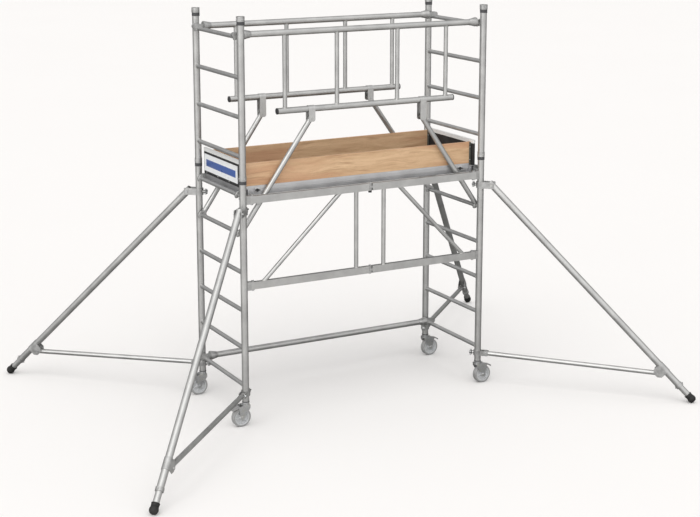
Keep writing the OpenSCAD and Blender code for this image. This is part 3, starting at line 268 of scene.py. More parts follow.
def ridged(name, color, roughness, pitch, axis_scale):
    """Moulded plastic with grip ridges and dust."""
    m = Material(name)
    m.set(specular_ior_level=0.4)
    ridges = m.wave(m.coordinates, axis_scale)
    dust = m.noise(m.coordinates, (60, 60, 60), detail=4)
    tone = m.mix(m.span(dust, 0.45, 0.75, 0.0, 0.4), rgb(*color), rgb(0.16, 0.16, 0.16))
    return m.surface(tone, roughness, m.bump(ridges, 0.5, pitch))


def timber(name, light, mid, red, dark):
    """Oiled board: grain along X, a broader figure, reddish patches, dark streaks and pores."""
    m = Material(name)
    m.set(specular_ior_level=0.35, coat_weight=0.08, coat_roughness=0.45)
    wander = m.noise(m.coordinates, (1.6, 5, 5), detail=3)
    shifted = m.nodes.new("ShaderNodeVectorMath")
    shifted.operation = "ADD"
    bend = m.nodes.new("ShaderNodeCombineXYZ")
    m.links.new(m.math("MULTIPLY", wander, 0.10), bend.inputs["Z"])
    m.links.new(m.coordinates, shifted.inputs[0])
    m.links.new(bend.outputs[0], shifted.inputs[1])
    figure = m.noise(shifted.outputs[0], (2.2, 20, 26), detail=6, roughness=0.62, distortion=0.6)
    grain = m.noise(shifted.outputs[0], (14, 220, 260), detail=4, roughness=0.6)
    pores = m.noise(shifted.outputs[0], (60, 900, 900), detail=2)
    streaks = m.noise(shifted.outputs[0], (3.5, 60, 60), detail=3)
    warmth = m.noise(shifted.outputs[0], (1.1, 9, 11), detail=4, distortion=0.8)
    color = m.mix(m.span(figure, 0.34, 0.66, 0.0, 1.0), rgb(*mid), rgb(*light))
    color = m.mix(m.span(warmth, 0.46, 0.66, 0.0, 0.65), color, rgb(*red))
    color = m.mix(m.span(streaks, 0.54, 0.74, 0.0, 0.75), color, rgb(*dark))
    color = m.mix(m.span(grain, 0.45, 0.75, 0.0, 0.32), color, rgb(*dark))
    color = m.mix(m.span(pores, 0.60, 0.75, 0.0, 0.40), color, rgb(*[c * 0.55 for c in dark]))
    normal = m.bump(grain, 0.18, 0.0006)
    normal = m.bump(pores, 0.25, 0.0004, normal)
    return m.surface(color, m.span(grain, 0.3, 0.7, 0.50, 0.66), normal)


def film_board(name, color, mesh_scale, worn):
    """Film-faced plywood: a pressed wire mesh, boot scuffs and dust."""
    m = Material(name)
    m.set(specular_ior_level=0.4)
    squares = m.cells(m.coordinates, (mesh_scale, mesh_scale, mesh_scale * 0.2), "DISTANCE_TO_EDGE")
    scuff = m.noise(m.coordinates, (7, 11, 7), detail=6, roughness=0.7)
    fine = m.noise(m.coordinates, (260, 260, 260), detail=3)
    tone = m.mix(m.span(scuff, 0.45, 0.72, 0.0, 0.55), rgb(*color), rgb(*worn))
    tone = m.mix(m.span(fine, 0.5, 0.8, 0.0, 0.25), tone, rgb(*[c * 0.5 for c in color]))
    normal = m.bump(m.span(squares, 0.0, 0.12, 1.0, 0.0), 0.4, 0.0008)
    return m.surface(tone, m.span(scuff, 0.3, 0.7, 0.42, 0.62), m.bump(fine, 0.15, 0.0005, normal))


def enamel(name, color, grime=(0.55, 0.55, 0.53)):
    """Gloss paint with faint orange peel and patches of grime."""
    m = Material(name)
    m.set(coat_weight=0.3, coat_roughness=0.12)
    peel = m.noise(m.coordinates, (120, 120, 120), detail=2)
    dirt = m.noise(m.coordinates, (16, 16, 30), detail=5, roughness=0.65)
    tone = m.mix(m.span(dirt, 0.5, 0.8, 0.0, 0.35), rgb(*color), rgb(*grime))
    return m.surface(tone, m.span(dirt, 0.3, 0.7, 0.24, 0.40), m.bump(peel, 0.06, 0.0006))


def weld(name):
    """Weld bead: ripples, with lighter and darker patches."""
    m = Material(name)
    m.set(metallic=1.0)
    ripples = m.noise(m.coordinates, (380, 380, 380), detail=2)
    tint = m.noise(m.coordinates, (90, 90, 90), detail=3)
    color = m.mix(m.span(tint, 0.4, 0.65, 0.0, 1.0), rgb(0.52, 0.52, 0.51), rgb(0.68, 0.67, 0.65))
    return m.surface(color, 0.42, m.bump(ripples, 0.5, 0.0008))


ALU_LIGHT = (0.60, 0.60, 0.59)
ALU_DARK = (0.47, 0.47, 0.465)
ALU_X = extruded("aluminium_along_x", (1, 0, 0), ALU_LIGHT, ALU_DARK)
ALU_Z = extruded("aluminium_along_z", (0, 0, 1), ALU_LIGHT, ALU_DARK)
RUNG = ribbed("ribbed_rung", (0.66, 0.66, 0.655), (0.52, 0.52, 0.52))
PROFILE = extruded("platform_profile", (1, 0, 0), (0.68, 0.68, 0.69), (0.57, 0.57, 0.58), 0.42)
CAST = cast("cast_aluminium", (0.56, 0.56, 0.555), (0.38, 0.38, 0.375))
SHEET = cast("folded_sheet", (0.62, 0.62, 0.61), (0.52, 0.52, 0.515), grain=90, roughness=0.40)
ZINC = zinc("zinc_plate")
FORK_ZINC = zinc("fork_zinc", (0.66, 0.67, 0.68))
STEEL = zinc("bright_steel", (0.70, 0.70, 0.71))
PLASTIC = moulded("dark_plastic", (0.022, 0.022, 0.024), 0.48, wear=(0.10, 0.10, 0.10))
RING = ridged("ridged_ring", (0.060, 0.060, 0.064), 0.5, 0.0010, (420, 420, 0))
RUBBER = moulded("black_rubber", (0.012, 0.012, 0.012), 0.66, grain=380, wear=(0.06, 0.058, 0.055))
TREAD = moulded("wheel_tread", (0.36, 0.36, 0.36), 0.55, grain=500, wear=(0.22, 0.21, 0.20))
RIM = moulded("wheel_rim", (0.60, 0.61, 0.62), 0.42, wear=(0.42, 0.42, 0.41))
WOOD = timber("toeboard_timber", (0.72, 0.50, 0.305), (0.56, 0.36, 0.205), (0.54, 0.285, 0.165),
              (0.36, 0.195, 0.10))
DECK = film_board("deck_film", (0.060, 0.032, 0.018), 130, (0.16, 0.12, 0.09))
BLACK_BOARD = film_board("end_board_film", (0.016, 0.016, 0.017), 200, (0.07, 0.07, 0.07))
SIGN = enamel("sign_white", (0.88, 0.89, 0.90))
SIGN_BAND = enamel("sign_band", (0.055, 0.115, 0.36), grime=(0.10, 0.14, 0.30))
CAPPING = enamel("capping_lacquer", (0.80, 0.80, 0.79), grime=(0.60, 0.60, 0.58))
CLIP = moulded("clip_plastic", (0.085, 0.085, 0.07), 0.50, wear=(0.16, 0.16, 0.14))
KNOB = cast("knob_casting", (0.52, 0.525, 0.52), (0.24, 0.245, 0.25), grain=600, roughness=0.42)
WELD = weld("weld_bead")


# ---------------------------------------------------------------- materials on the CAD nodes

def dress(name, *materials):
    """Puts materials in a node's slots."""
    mesh = NODES[name].data
    mesh.materials.clear()
    for material in materials:
        mesh.materials.append(material)


def dress_faces(name, materials, choose):
    """As dress, and choose(centre of a face) gives the slot of each face."""
    dress(name, *materials)
    for face in NODES[name].data.polygons:
        face.material_index = choose(face.center)


def line_distance(point, start, direction):
    """Distance of a point from a line through start."""
    offset = point - start
    return (offset - offset.dot(direction) * direction).length


for node, material in {
    "lower_stiles": ALU_Z, "upper_stiles": ALU_Z, "lower_rungs": RUNG, "upper_rungs": RUNG,
    "stile_sleeves": CAST, "lock_rings": RING, "stile_spigots": ZINC, "girder_chords": ALU_X,
    "girder_bracing": ALU_Z, "girder_knob": PLASTIC, "bottom_brace": ALU_X,
    "platform_beams": PROFILE, "deck_panel": DECK, "trapdoor_handle": STEEL, "deck_hinges": ZINC,
    "side_toeboards": WOOD, "end_toeboards": BLACK_BOARD, "toeboard_caps": CAPPING, "sign_panel": SIGN,
    "hook_claws": CAST, "rail_end_caps": PLASTIC, "wind_lock_left": ZINC, "wind_lock_right": ZINC,
}.items():
    dress(node, material)

dress_faces("trapdoor", (DECK, ZINC), lambda c: int(c.z > DECK_Z + SKIN / 2))
dress_faces("guardrail_frames", (ALU_X, ALU_Z), lambda c: int(
    min(abs(c.z - TOP_RAIL_Z), abs(c.z - LOWER_RAIL_Z)) > RAIL_R + 0.001))
dress("guardrail_struts", extruded("aluminium_strut", (0.6, 0, 0.8), ALU_LIGHT, ALU_DARK))
dress_faces("guardrail_brackets", (SHEET, ZINC), lambda c: int(abs(abs(c.y) - GUARD_Y) > BRACKET_FACE))
dress_faces("girder_hinges", (CAST, ZINC), lambda c: int(
    min(math.hypot(c.x - x, c.y + HALF_WIDTH) for x in (-END_HINGE_X, HINGE_X, END_HINGE_X)) < HINGE_PIN_R))

for corner, (sx, sy) in CORNERS.items():
    axis_point = Vector((sx * HALF_LENGTH, sy * HALF_WIDTH, 0))
    outward = Vector((sx, sy, 0)).normalized()
    side = Vector((0, 0, 1)).cross(outward)
    leg_dir = math.cos(LEG_SLOPE) * outward - Vector((0, 0, math.sin(LEG_SLOPE)))
    leg_down = -math.sin(LEG_SLOPE) * outward - Vector((0, 0, math.cos(LEG_SLOPE)))
    leg_start = axis_point + LEG_PIVOT[0] * outward + Vector((0, 0, LEG_PIVOT[1]))
    tie_start = axis_point + TIE_PIVOT[0] * outward + Vector((0, 0, TIE_PIVOT[1]))
    tie_end = leg_start + TIE_STATION * leg_dir + TIE_DROP * leg_down
    tie_dir = (tie_end - tie_start).normalized()
    leg_alu = extruded(f"leg_{corner}", leg_dir, ALU_LIGHT, ALU_DARK)
    tie_alu = extruded(f"tie_{corner}", tie_dir, ALU_LIGHT, ALU_DARK)

    def leg_slot(c):
        if line_distance(c, leg_start, leg_dir) < LEG_R + SKIN:
            return 0
        if line_distance(c, tie_start, tie_dir) < TIE_R + SKIN:
            return 1
        if min(line_distance(c, p, side) for p in (leg_start, tie_start, tie_end)) < LEG_BOLT_R:
            return 3
        return 2

    dress_faces(f"outrigger_leg_{corner}", (leg_alu, tie_alu, CAST, ZINC), leg_slot)
    dress(f"outrigger_slider_{corner}", leg_alu)
    dress(f"outrigger_foot_{corner}", RUBBER)
    dress(f"upper_knob_{corner}", KNOB)
    dress(f"lower_knob_{corner}", KNOB)
    dress(f"castor_fork_{corner}", FORK_ZINC)
    dress(f"brake_pedal_{corner}", STEEL)
    axle = Vector((sx * (HALF_LENGTH + CASTOR_TRAIL), sy * HALF_WIDTH, AXLE_Z))
    dress_faces(f"castor_wheel_{corner}", (RIM, TREAD),
                lambda c: int(math.hypot(c.x - axle.x, c.z - axle.z) > TREAD_INNER_R))


# ---------------------------------------------------------------- mesh helpers

def piece(name, mesh_builder, material, body):
    """New object from a bmesh that mesh_builder fills, riding on a body."""
    bm = bmesh.new()
    mesh_builder(bm)
    bmesh.ops.recalc_face_normals(bm, faces=bm.faces)
    mesh = bpy.data.meshes.new(name)
    bm.to_mesh(mesh)
    bm.free()
    for face in mesh.polygons:
        face.use_smooth = True
    mesh.set_sharp_from_angle(angle=math.radians(38))
    mesh.materials.append(material)
    obj = bpy.data.objects.new(name, mesh)
    bpy.context.scene.collection.objects.link(obj)
    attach(obj, body)


def bridge(bm, rings, closed_path):
    """Quads between neighbouring rings of vertices."""
    pairs = list(zip(rings, rings[1:]))
    if closed_path:
        pairs.append((rings[-1], rings[0]))
    for a, b in pairs:
        for i in range(len(a)):
            j = (i + 1) % len(a)
            bm.faces.new((a[i], a[j], b[j], b[i]))


def bead(bm, points, radius, sides=7):
    """Closed weld bead along points, swelling and thinning as a ripple does."""
    rings = []
    count = len(points)
    for i, point in enumerate(points):
        ahead = (points[(i + 1) % count] - points[i - 1]).normalized()
        helper = Vector((0, 0, 1)) if abs(ahead.z) < 0.9 else Vector((1, 0, 0))
        u = ahead.cross(helper).normalized()
        v = ahead.cross(u)
        swell = radius * (1 + 0.14 * math.sin(i * 2.4) + 0.07 * math.sin(i * 5.1 + 1))
        ring = []
        for k in range(sides):
            angle = 2 * math.pi * k / sides
            ring.append(bm.verts.new(point + swell * (math.cos(angle) * u + math.sin(angle) * v)))
        rings.append(ring)
    bridge(bm, rings, True)


def turned(bm, profile, place, sides=24):
    """Solid turned about local Z from (radius, height) pairs, put in place by a matrix."""
    rings = []
    for radius, height in profile:
        ring = []
        for k in range(sides):
            angle = 2 * math.pi * k / sides
            ring.append(bm.verts.new(place @ Vector((radius * math.cos(angle), radius * math.sin(angle),
                                                     height))))
        rings.append(ring)
    bridge(bm, rings, False)
    bm.faces.new(rings[0])
    bm.faces.new(rings[-1])


def facing(position, direction):
    """Matrix that puts local Z along direction at position."""
    rotation = Vector((0, 0, 1)).rotation_difference(Vector(direction)).to_matrix().to_4x4()
    return Matrix.Translation(Vector(position)) @ rotation


def hex_bolt(bm, position, direction, radius=0.0055, height=0.0035):
    """Washer and chamfered hexagon head."""
    place = facing(position, direction)
    turned(bm, [(radius * 1.45, -0.0003), (radius * 1.5, 0.0003), (radius * 1.4, 0.0010)], place)
    turned(bm, [(radius, 0.0008), (radius, height), (radius * 0.82, height * 1.2)], place, 6)


def dome_screw(bm, position, direction, radius=0.004):
    """Round-headed screw with a recess in its head."""
    place = facing(position, direction)
    turned(bm, [(radius, -0.0003), (radius, radius * 0.2), (radius * 0.86, radius * 0.48),
                (radius * 0.5, radius * 0.62), (radius * 0.42, radius * 0.62),
                (radius * 0.28, radius * 0.30)], place, 16)


def arc_rib(bm, centre, inner, outer, width, start, end, count=20):
    """Rib with chamfered edges that follows an arc about the Y axis; angles are in degrees from +X."""
    chamfer = 0.002
    section = [(inner, -width / 2), (outer - chamfer, -width / 2), (outer, -width / 2 + chamfer),
               (outer, width / 2 - chamfer), (outer - chamfer, width / 2), (inner, width / 2)]
    rings = []
    for i in range(count + 1):
        angle = math.radians(start + (end - start) * i / count)
        rings.append([bm.verts.new(centre + Vector((r * math.cos(angle), y, r * math.sin(angle))))
                      for r, y in section])
    bridge(bm, rings, False)
    bm.faces.new(rings[0])
    bm.faces.new(rings[-1])


def rounded_box(bm, low, high, bevel):
    """Box with bevelled edges between two corners."""
    low, high = Vector(low), Vector(high)
    size = high - low
    place = Matrix.Translation((low + high) / 2) @ Matrix.Diagonal((*size, 1))
    made = bmesh.ops.create_cube(bm, size=1.0, matrix=place)
    edges = list({e for v in made["verts"] for e in v.link_edges})
    bmesh.ops.bevel(bm, geom=edges, offset=bevel, segments=2, affect="EDGES", profile=0.6)


# ---------------------------------------------------------------- welds

def saddle(centre, across, radius, onto_radius, up=Vector((0, 0, 1)), count=40):
    """Line where a tube of the given radius, leaving along across, meets a round post along up."""
    sideways = up.cross(across)
    points = []
    for i in range(count):
        angle = 2 * math.pi * i / count
        side_offset = radius * math.cos(angle)
        depth = math.sqrt(max(onto_radius ** 2 - side_offset ** 2, 0))
        points.append(centre + side_offset * sideways + radius * math.sin(angle) * up + depth * across)
    return points


def rung_welds(bm, first, last):
    """Beads where the rungs from first to last - 1 meet their stiles."""
    for sx, sy in CORNERS.values():
        for z in RUNG_ZS[first:last]:
            centre = Vector((sx * HALF_LENGTH, sy * HALF_WIDTH, z))
            bead(bm, saddle(centre, Vector((0, -sy, 0)), RUNG_R + 0.0008, STILE_R + 0.0008), 0.0026)


def guardrail_welds(bm):
    """Beads at both ends of the guardrails' uprights."""
    up = Vector((1, 0, 0))
    for sy in (-1, 1):
        for x in UPRIGHT_XS:
            for z, direction in ((TOP_RAIL_Z, -1), (LOWER_RAIL_Z, 1)):
                centre = Vector((-sy * (RAIL_SHIFT + x), sy * GUARD_Y, z))
                bead(bm, saddle(centre, Vector((0, 0, direction)), UPRIGHT_R + 0.0006, RAIL_R + 0.0006, up),
                     0.0022)


def flat_ring(centre, long_radius, short_radius, count=36):
    """Ellipse in the horizontal plane."""
    return [centre + Vector((long_radius * math.cos(2 * math.pi * i / count),
                             short_radius * math.sin(2 * math.pi * i / count), 0)) for i in range(count)]


def girder_welds(bm):
    """Beads at both ends of the girder's uprights and diagonals."""
    low_z = CHORD_ZS[1] + CHORD_HALF[1] + 0.0006
    high_z = CHORD_ZS[0] - CHORD_HALF[1] - 0.0006
    radius = 0.0143
    for s in (-1, 1):
        low = Vector((s * (HALF_LENGTH - 0.145), -HALF_WIDTH, low_z))
        high = Vector((HINGE_X + s * 0.230, -HALF_WIDTH, high_z))
        lean = (high - low).length / (high.z - low.z)
        for z in (low_z, high_z):
            bead(bm, flat_ring(Vector((HINGE_X + s * POST_OFFSET, -HALF_WIDTH, z)), radius, radius), 0.0020)
        for end in (low, high):
            bead(bm, flat_ring(end, radius * lean, radius), 0.0020)


piece("welds_lower_frames", lambda bm: rung_welds(bm, 0, 6), WELD, "tower")
piece("welds_upper_frames", lambda bm: rung_welds(bm, 6, 10), WELD, "tower")
piece("welds_guardrails", guardrail_welds, WELD, "tower")
piece("welds_girder", girder_welds, WELD, "tower")


# ---------------------------------------------------------------- platform fittings

CLIP_WIDTH = 0.014
CLIP_SHEET = 0.0012
BOARD_THICKNESS = 0.018
END_BOARD_THICKNESS = 0.012
TOEBOARD_SCREW_Z = 0.035
END_BOARD_SCREW_YS = (-0.27, -0.09, 0.09, 0.27)
END_BOARD_SCREW_Z = 0.012
DECK_EDGE_SCREW_XS = (-0.80, -0.55, -0.215, 0.12, 0.77)
CROSS_BAR_XS = (-0.557, -0.209, 0.14)
CROSS_BAR_SCREW_YS = (-0.15, 0.0, 0.15)
DECK_SCREW_INSET = 0.012
WIDE_SCREW_R = 0.0045
RAIL_FACE_Y = 0.288
RAIL_END_X = 0.835
RAIL_RIBS = ((1.508, 0.003), (1.530, 0.003), (1.547, 0.0035))
RAIL_RIB_DEPTH = 0.0014
THIN_BEVEL = 0.0005
LATCH_X = 0.762
LATCH_Z = 1.533
LATCH_PLATE = 0.004
board_low, board_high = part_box("side_toeboards")
end_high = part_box("end_toeboards")[1]


def board_clips(bm):
    """Channel over each end of the side toeboards."""
    for sx in (-1, 1):
        for sy in (-1, 1):
            outer = sy * board_high.y
            inner = outer - sy * BOARD_THICKNESS
            for face, out in ((outer, sy), (inner, -sy)):
                ys = sorted((face, face + out * CLIP_SHEET))
                xs = sorted((sx * board_high.x, sx * (board_high.x - CLIP_WIDTH)))
                rounded_box(bm, (xs[0], ys[0], board_low.z + 0.001), (xs[1], ys[1], board_high.z - 0.001),
                            THIN_BEVEL)


def board_screws(bm):
    """Screws in the clips of the side toeboards and along the end toeboards."""
    for sx in (-1, 1):
        for sy in (-1, 1):
            x = sx * (board_high.x - CLIP_WIDTH / 2)
            outer = sy * (board_high.y + CLIP_SHEET)
            inner = sy * (board_high.y - BOARD_THICKNESS - CLIP_SHEET)
            for z in (board_low.z + TOEBOARD_SCREW_Z, board_high.z - TOEBOARD_SCREW_Z):
                dome_screw(bm, (x, outer, z), (0, sy, 0))
                dome_screw(bm, (x, inner, z), (0, -sy, 0))
        z = board_low.z + END_BOARD_SCREW_Z
        for y in END_BOARD_SCREW_YS:
            dome_screw(bm, (sx * end_high.x, y, z), (sx, 0, 0), WIDE_SCREW_R)
            dome_screw(bm, (sx * (end_high.x - END_BOARD_THICKNESS), y, z), (-sx, 0, 0), WIDE_SCREW_R)


def deck_screws(bm):
    """Screws along the deck's long edges and over its cross bars."""
    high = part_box("deck_panel")[1]
    for x in DECK_EDGE_SCREW_XS:
        for sy in (-1, 1):
            dome_screw(bm, (x, sy * (high.y - DECK_SCREW_INSET), DECK_Z), (0, 0, 1), WIDE_SCREW_R)
    for x in CROSS_BAR_XS:
        for y in CROSS_BAR_SCREW_YS:
            dome_screw(bm, (x, y, DECK_Z), (0, 0, 1), WIDE_SCREW_R)


def rail_ribs(bm):
    """Ribs of the extrusion along the side rails' outer faces."""
    for sy in (-1, 1):
        for z, height in RAIL_RIBS:
            ys = sorted((sy * RAIL_FACE_Y, sy * (RAIL_FACE_Y + RAIL_RIB_DEPTH)))
            rounded_box(bm, (-RAIL_END_X, ys[0], z), (RAIL_END_X, ys[1], z + height), THIN_BEVEL)


def beam_rivets(bm):
    """Rivets that hold the claws and the side rails to the end beams."""
    for sx in (-1, 1):
        for y in (-0.305, -0.295, 0.295, 0.305):
            dome_screw(bm, (sx * 0.8598, y, 1.512), (sx, 0, 0), 0.0032)
        for sy in (-1, 1):
            for x in (0.815, 0.795):
                dome_screw(bm, (sx * x, sy * (RAIL_FACE_Y + SKIN), 1.520), (0, sy, 0), 0.0042)


def deck_latches(bm):
    """Small turn-latch plates on the side rails near the platform's corners."""
    for sx, sy in CORNERS.values():
        centre = Vector((sx * LATCH_X, sy * (RAIL_FACE_Y + 0.0006), LATCH_Z))
        ys = sorted((centre.y, centre.y + sy * LATCH_PLATE))
        rounded_box(bm, (centre.x - 0.016, ys[0], centre.z - 0.014), (centre.x + 0.016, ys[1],
                    centre.z + 0.018), 0.0015)
        for dx in (-0.012, 0.012):
            dome_screw(bm, centre + Vector((dx, sy * LATCH_PLATE, -0.010)), (0, sy, 0), 0.003)


def latch_buttons(bm):
    """Winged turn buttons of those latches."""
    for sx, sy in CORNERS.values():
        base = Vector((sx * LATCH_X, sy * (RAIL_FACE_Y + 0.0036), LATCH_Z + 0.002))
        turned(bm, [(0.010, 0.0), (0.010, 0.007), (0.008, 0.010)], facing(base, (0, sy, 0)))
        ys = sorted((base.y + sy * 0.006, base.y + sy * 0.013))
        rounded_box(bm, (base.x - 0.017, ys[0], base.z - 0.0035), (base.x + 0.017, ys[1], base.z + 0.0035),
                    0.0015)


piece("toeboard_end_clips", board_clips, CLIP, "tower")
piece("toeboard_screws", board_screws, ZINC, "tower")
piece("deck_screws", deck_screws, ZINC, "tower")
piece("side_rail_ribs", rail_ribs, PROFILE, "tower")
piece("end_beam_rivets", beam_rivets, ZINC, "tower")
piece("platform_latches", deck_latches, STEEL, "tower")
piece("latch_buttons", latch_buttons, PLASTIC, "tower")


def sign_band(bm):
    """Plain band across the sign panel."""
    low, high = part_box("sign_panel")
    rounded_box(bm, (low.x - 0.0004, low.y + 0.030, low.z + 0.034), (low.x + 0.0004, high.y - 0.030,
                high.z - 0.034), 0.0002)


piece("sign_plain_band", sign_band, SIGN_BAND, "tower")


# ---------------------------------------------------------------- frame fittings

SLEEVES = ((1.6315, 0.0247), (2.6315, 0.0265))
CLAW_RIVET_XS = (0.838, 0.818)
HOOKS = (
    (GUARD_Y, 9), (-GUARD_Y, 9), (GUARD_Y, 4), (-GUARD_Y, 4), (BRACE_Y, 0), (BRACE_Y, 5), (-BRACE_Y, 5),
)
HOOK_INNER = 0.0195
HOOK_OUTER = 0.0300
HOOK_WIDTH = 0.022
HOOK_ARC = (-35, 215)
COLLAR_X = 0.806
KNUCKLE_RIVETS = (0.032, 0.010)


def sleeve_pins(bm):
    """Spring-pin buttons in the sleeves at the stiles' joints and tops."""
    for sx, sy in CORNERS.values():
        for z, radius in SLEEVES:
            dome_screw(bm, (sx * HALF_LENGTH, sy * (HALF_WIDTH + radius), z), (0, sy, 0), 0.005)
            dome_screw(bm, (sx * (HALF_LENGTH + radius), sy * HALF_WIDTH, z), (sx, 0, 0), 0.005)


def claw_rivets(bm):
    """Rivets through the guardrail and brace tubes into their claws' shanks."""
    for sx in (-1, 1):
        for x in CLAW_RIVET_XS:
            for sy in (-1, 1):
                for face in (-1, 1):
                    y = sy * GUARD_Y + face * RAIL_R
                    dome_screw(bm, (sx * x, y, TOP_RAIL_Z), (0, face, 0), SMALL_RIVET_R)
            for face in (-1, 1):
                dome_screw(bm, (sx * x, BRACE_Y + face * RAIL_R, BRACE_Z), (0, face, 0), SMALL_RIVET_R)


def claw_hooks(bm):
    """Stiffening ribs round the hooks of the claws."""
    for sx in (-1, 1):
        for y, rung in HOOKS:
            centre = Vector((sx * HALF_LENGTH, y, RUNG_ZS[rung]))
            arc_rib(bm, centre, HOOK_INNER, HOOK_OUTER, HOOK_WIDTH, *HOOK_ARC)


def claw_collars(bm):
    """Flared collars of the claws over the ends of the top rails and the brace."""
    profile = [(0.0203, 0.0), (0.0222, 0.003), (0.0255, 0.022), (0.0310, 0.044), (0.0310, 0.052),
               (0.0240, 0.055)]
    for sx in (-1, 1):
        for y, z in ((GUARD_Y, TOP_RAIL_Z), (-GUARD_Y, TOP_RAIL_Z), (BRACE_Y, BRACE_Z)):
            turned(bm, profile, facing((sx * COLLAR_X, y, z), (sx, 0, 0)), 32)


def hinge_nuts(bm):
    """Nuts on the pins of the girder's hinges; the knob holds the lower end of one of them."""
    for z in CHORD_ZS:
        for x, reach in ((-END_HINGE_X, 0.031), (END_HINGE_X, 0.031), (HINGE_X, 0.027)):
            for face in (-1, 1):
                if (x, z, face) != (HINGE_X, CHORD_ZS[0], -1):
                    hex_bolt(bm, (x, -HALF_WIDTH, z + face * (reach - 0.004)), (0, 0, face), 0.0095, 0.006)


def painted_slot_shade(bm):
    """Dark plates on the sleeves at the stiles' tops: painted shade where the slots that the spring levers
    work through open.
    """
    for sx, sy in CORNERS.values():
        x = sx * HALF_LENGTH
        y = sy * HALF_WIDTH
        rounded_box(bm, (x + 0.0252, y - 0.0045, 2.590), (x + 0.0272, y + 0.0045, 2.624), 0.0008)


def chord_rivets(bm):
    """Rivets that hold the centre knuckles in the girder's chords."""
    for z in CHORD_ZS:
        for x in (HINGE_X - KNUCKLE_RIVETS[0], HINGE_X + KNUCKLE_RIVETS[0]):
            for face in (-1, 1):
                y = -HALF_WIDTH + face * CHORD_HALF[0]
                for dz in (-KNUCKLE_RIVETS[1], KNUCKLE_RIVETS[1]):
                    dome_screw(bm, (x, y, z + dz), (0, face, 0), SMALL_RIVET_R)


piece("sleeve_buttons", sleeve_pins, STEEL, "tower")
piece("claw_rivets", claw_rivets, ZINC, "tower")
piece("chord_rivets", chord_rivets, ZINC, "tower")
piece("claw_hooks", claw_hooks, CAST, "tower")
piece("claw_collars", claw_collars, CAST, "tower")
piece("hinge_nuts", hinge_nuts, ZINC, "tower")
# painted shade of the slots' openings, made as thin dark plastic plates
piece("painted_slot_shade", painted_slot_shade, PLASTIC, "tower")


# ---------------------------------------------------------------- castors and knobs

def wheel_ribs(bm, centre):
    """Ribs and a ring in the dish on both sides of a wheel."""
    for face in (-1, 1):
        out = Vector((0, face, 0))
        base = centre + out * 0.0075
        for k in range(6):
            angle = math.pi * k / 3 + 0.3
            radial = Vector((math.cos(angle), 0, math.sin(angle)))
            around = out.cross(radial)
            corners = [(0.0165, 0.0035, 0), (0.0455, 0.0022, 0), (0.0455, -0.0022, 0), (0.0165, -0.0035, 0)]
            low = [bm.verts.new(base + r * radial + a * around) for r, a, _ in corners]
            high = [bm.verts.new(base + (r - 0.0008) * radial + 0.7 * a * around + out * 0.0072)
                    for r, a, _ in corners]
            bridge(bm, [low, high], False)
            bm.faces.new(high)
            bm.faces.new(low)
        turned(bm, [(0.0175, 0.0), (0.0195, 0.0), (0.0188, 0.0078), (0.0180, 0.0078)],
               facing(base, out), 32)


def fork_fittings(bm, corner_point, sx):
    """Rolled collar and rivets on a castor fork."""
    crown = Matrix.Translation(corner_point + Vector((0, 0, FORK_CROWN_Z)))
    turned(bm, [(0.0236, 0.0), (0.0250, 0.0015), (0.0250, 0.0045), (0.0236, 0.0060)], crown, 40)
    for face in (-1, 1):
        for x in (-0.010, 0.014):
            place = corner_point + Vector((sx * x, face * FORK_HALF_WIDTH, FORK_RIVET_Z))
            dome_screw(bm, place, (0, face, 0), SMALL_RIVET_R)


def pedal_ribs(bm, pin, sx):
    """Grip ribs across a brake pedal."""
    along = Vector((sx * math.cos(PEDAL_SLOPE), 0, -math.sin(PEDAL_SLOPE)))
    up = Vector((sx * math.sin(PEDAL_SLOPE), 0, math.cos(PEDAL_SLOPE)))
    for s in (0.026, 0.033, 0.040):
        place = Matrix.Translation(pin + s * along + 0.0054 * up)
        turn = Vector((1, 0, 0)).rotation_difference(along).to_matrix().to_4x4()
        made = bmesh.ops.create_cube(bm, size=1.0, matrix=place @ turn @ Matrix.Diagonal(
            (0.0026, 0.040, 0.0016, 1)))
        edges = list({e for v in made["verts"] for e in v.link_edges})
        bmesh.ops.bevel(bm, geom=edges, offset=0.0005, segments=2, affect="EDGES")


def knob_cap(bm, tip, outward_dir):
    """Domed cap and screw on the face of a star knob."""
    place = facing(tip, outward_dir)
    turned(bm, [(0.0105, -0.0004), (0.0105, 0.0014), (0.0088, 0.0030), (0.0050, 0.0038)], place, 28)
    turned(bm, [(0.0030, 0.0036), (0.0030, 0.0052), (0.0022, 0.0058)], place, 6)


for corner, (sx, sy) in CORNERS.items():
    stile_point = Vector((sx * HALF_LENGTH, sy * HALF_WIDTH, 0))
    axle = stile_point + Vector((sx * CASTOR_TRAIL, 0, AXLE_Z))
    pin = stile_point + Vector((sx * BRAKE_PIN[0], 0, BRAKE_PIN[1]))
    inward = Vector((-sx, -sy, 0)).normalized()
    piece(f"wheel_ribs_{corner}", lambda bm: wheel_ribs(bm, axle), RIM, f"castor_wheel_{corner}")
    piece(f"fork_fittings_{corner}", lambda bm: fork_fittings(bm, stile_point, sx), STEEL,
          f"castor_fork_{corner}")
    piece(f"pedal_ribs_{corner}", lambda bm: pedal_ribs(bm, pin, sx), STEEL,
          f"brake_pedal_{corner}")
    for level, z in (("upper", LEG_PIVOT[1]), ("lower", TIE_PIVOT[1])):
        tip = stile_point + Vector((0, 0, z)) + KNOB_REACH * inward
        piece(f"{level}_knob_cap_{corner}", lambda bm: knob_cap(bm, tip, inward), ZINC,
              f"{level}_knob_{corner}")


# ---------------------------------------------------------------- floor, light and camera

FLOOR_RADIUS = 80
# direction in which the floor's painted reflection is painted darker
BEHIND_TOWER = (0.476, 0.879, 0.0)
PANEL_DIRECTION = Vector((-0.40, -0.55, 0.73)).normalized()
LENS = 79.086
LENS_SHIFT = -0.1
CAMERA_PLACE = (-4.7991, -8.9967, 3.5372)
CAMERA_AZIMUTH = 0.4958
CAMERA_DOWN = 0.2052


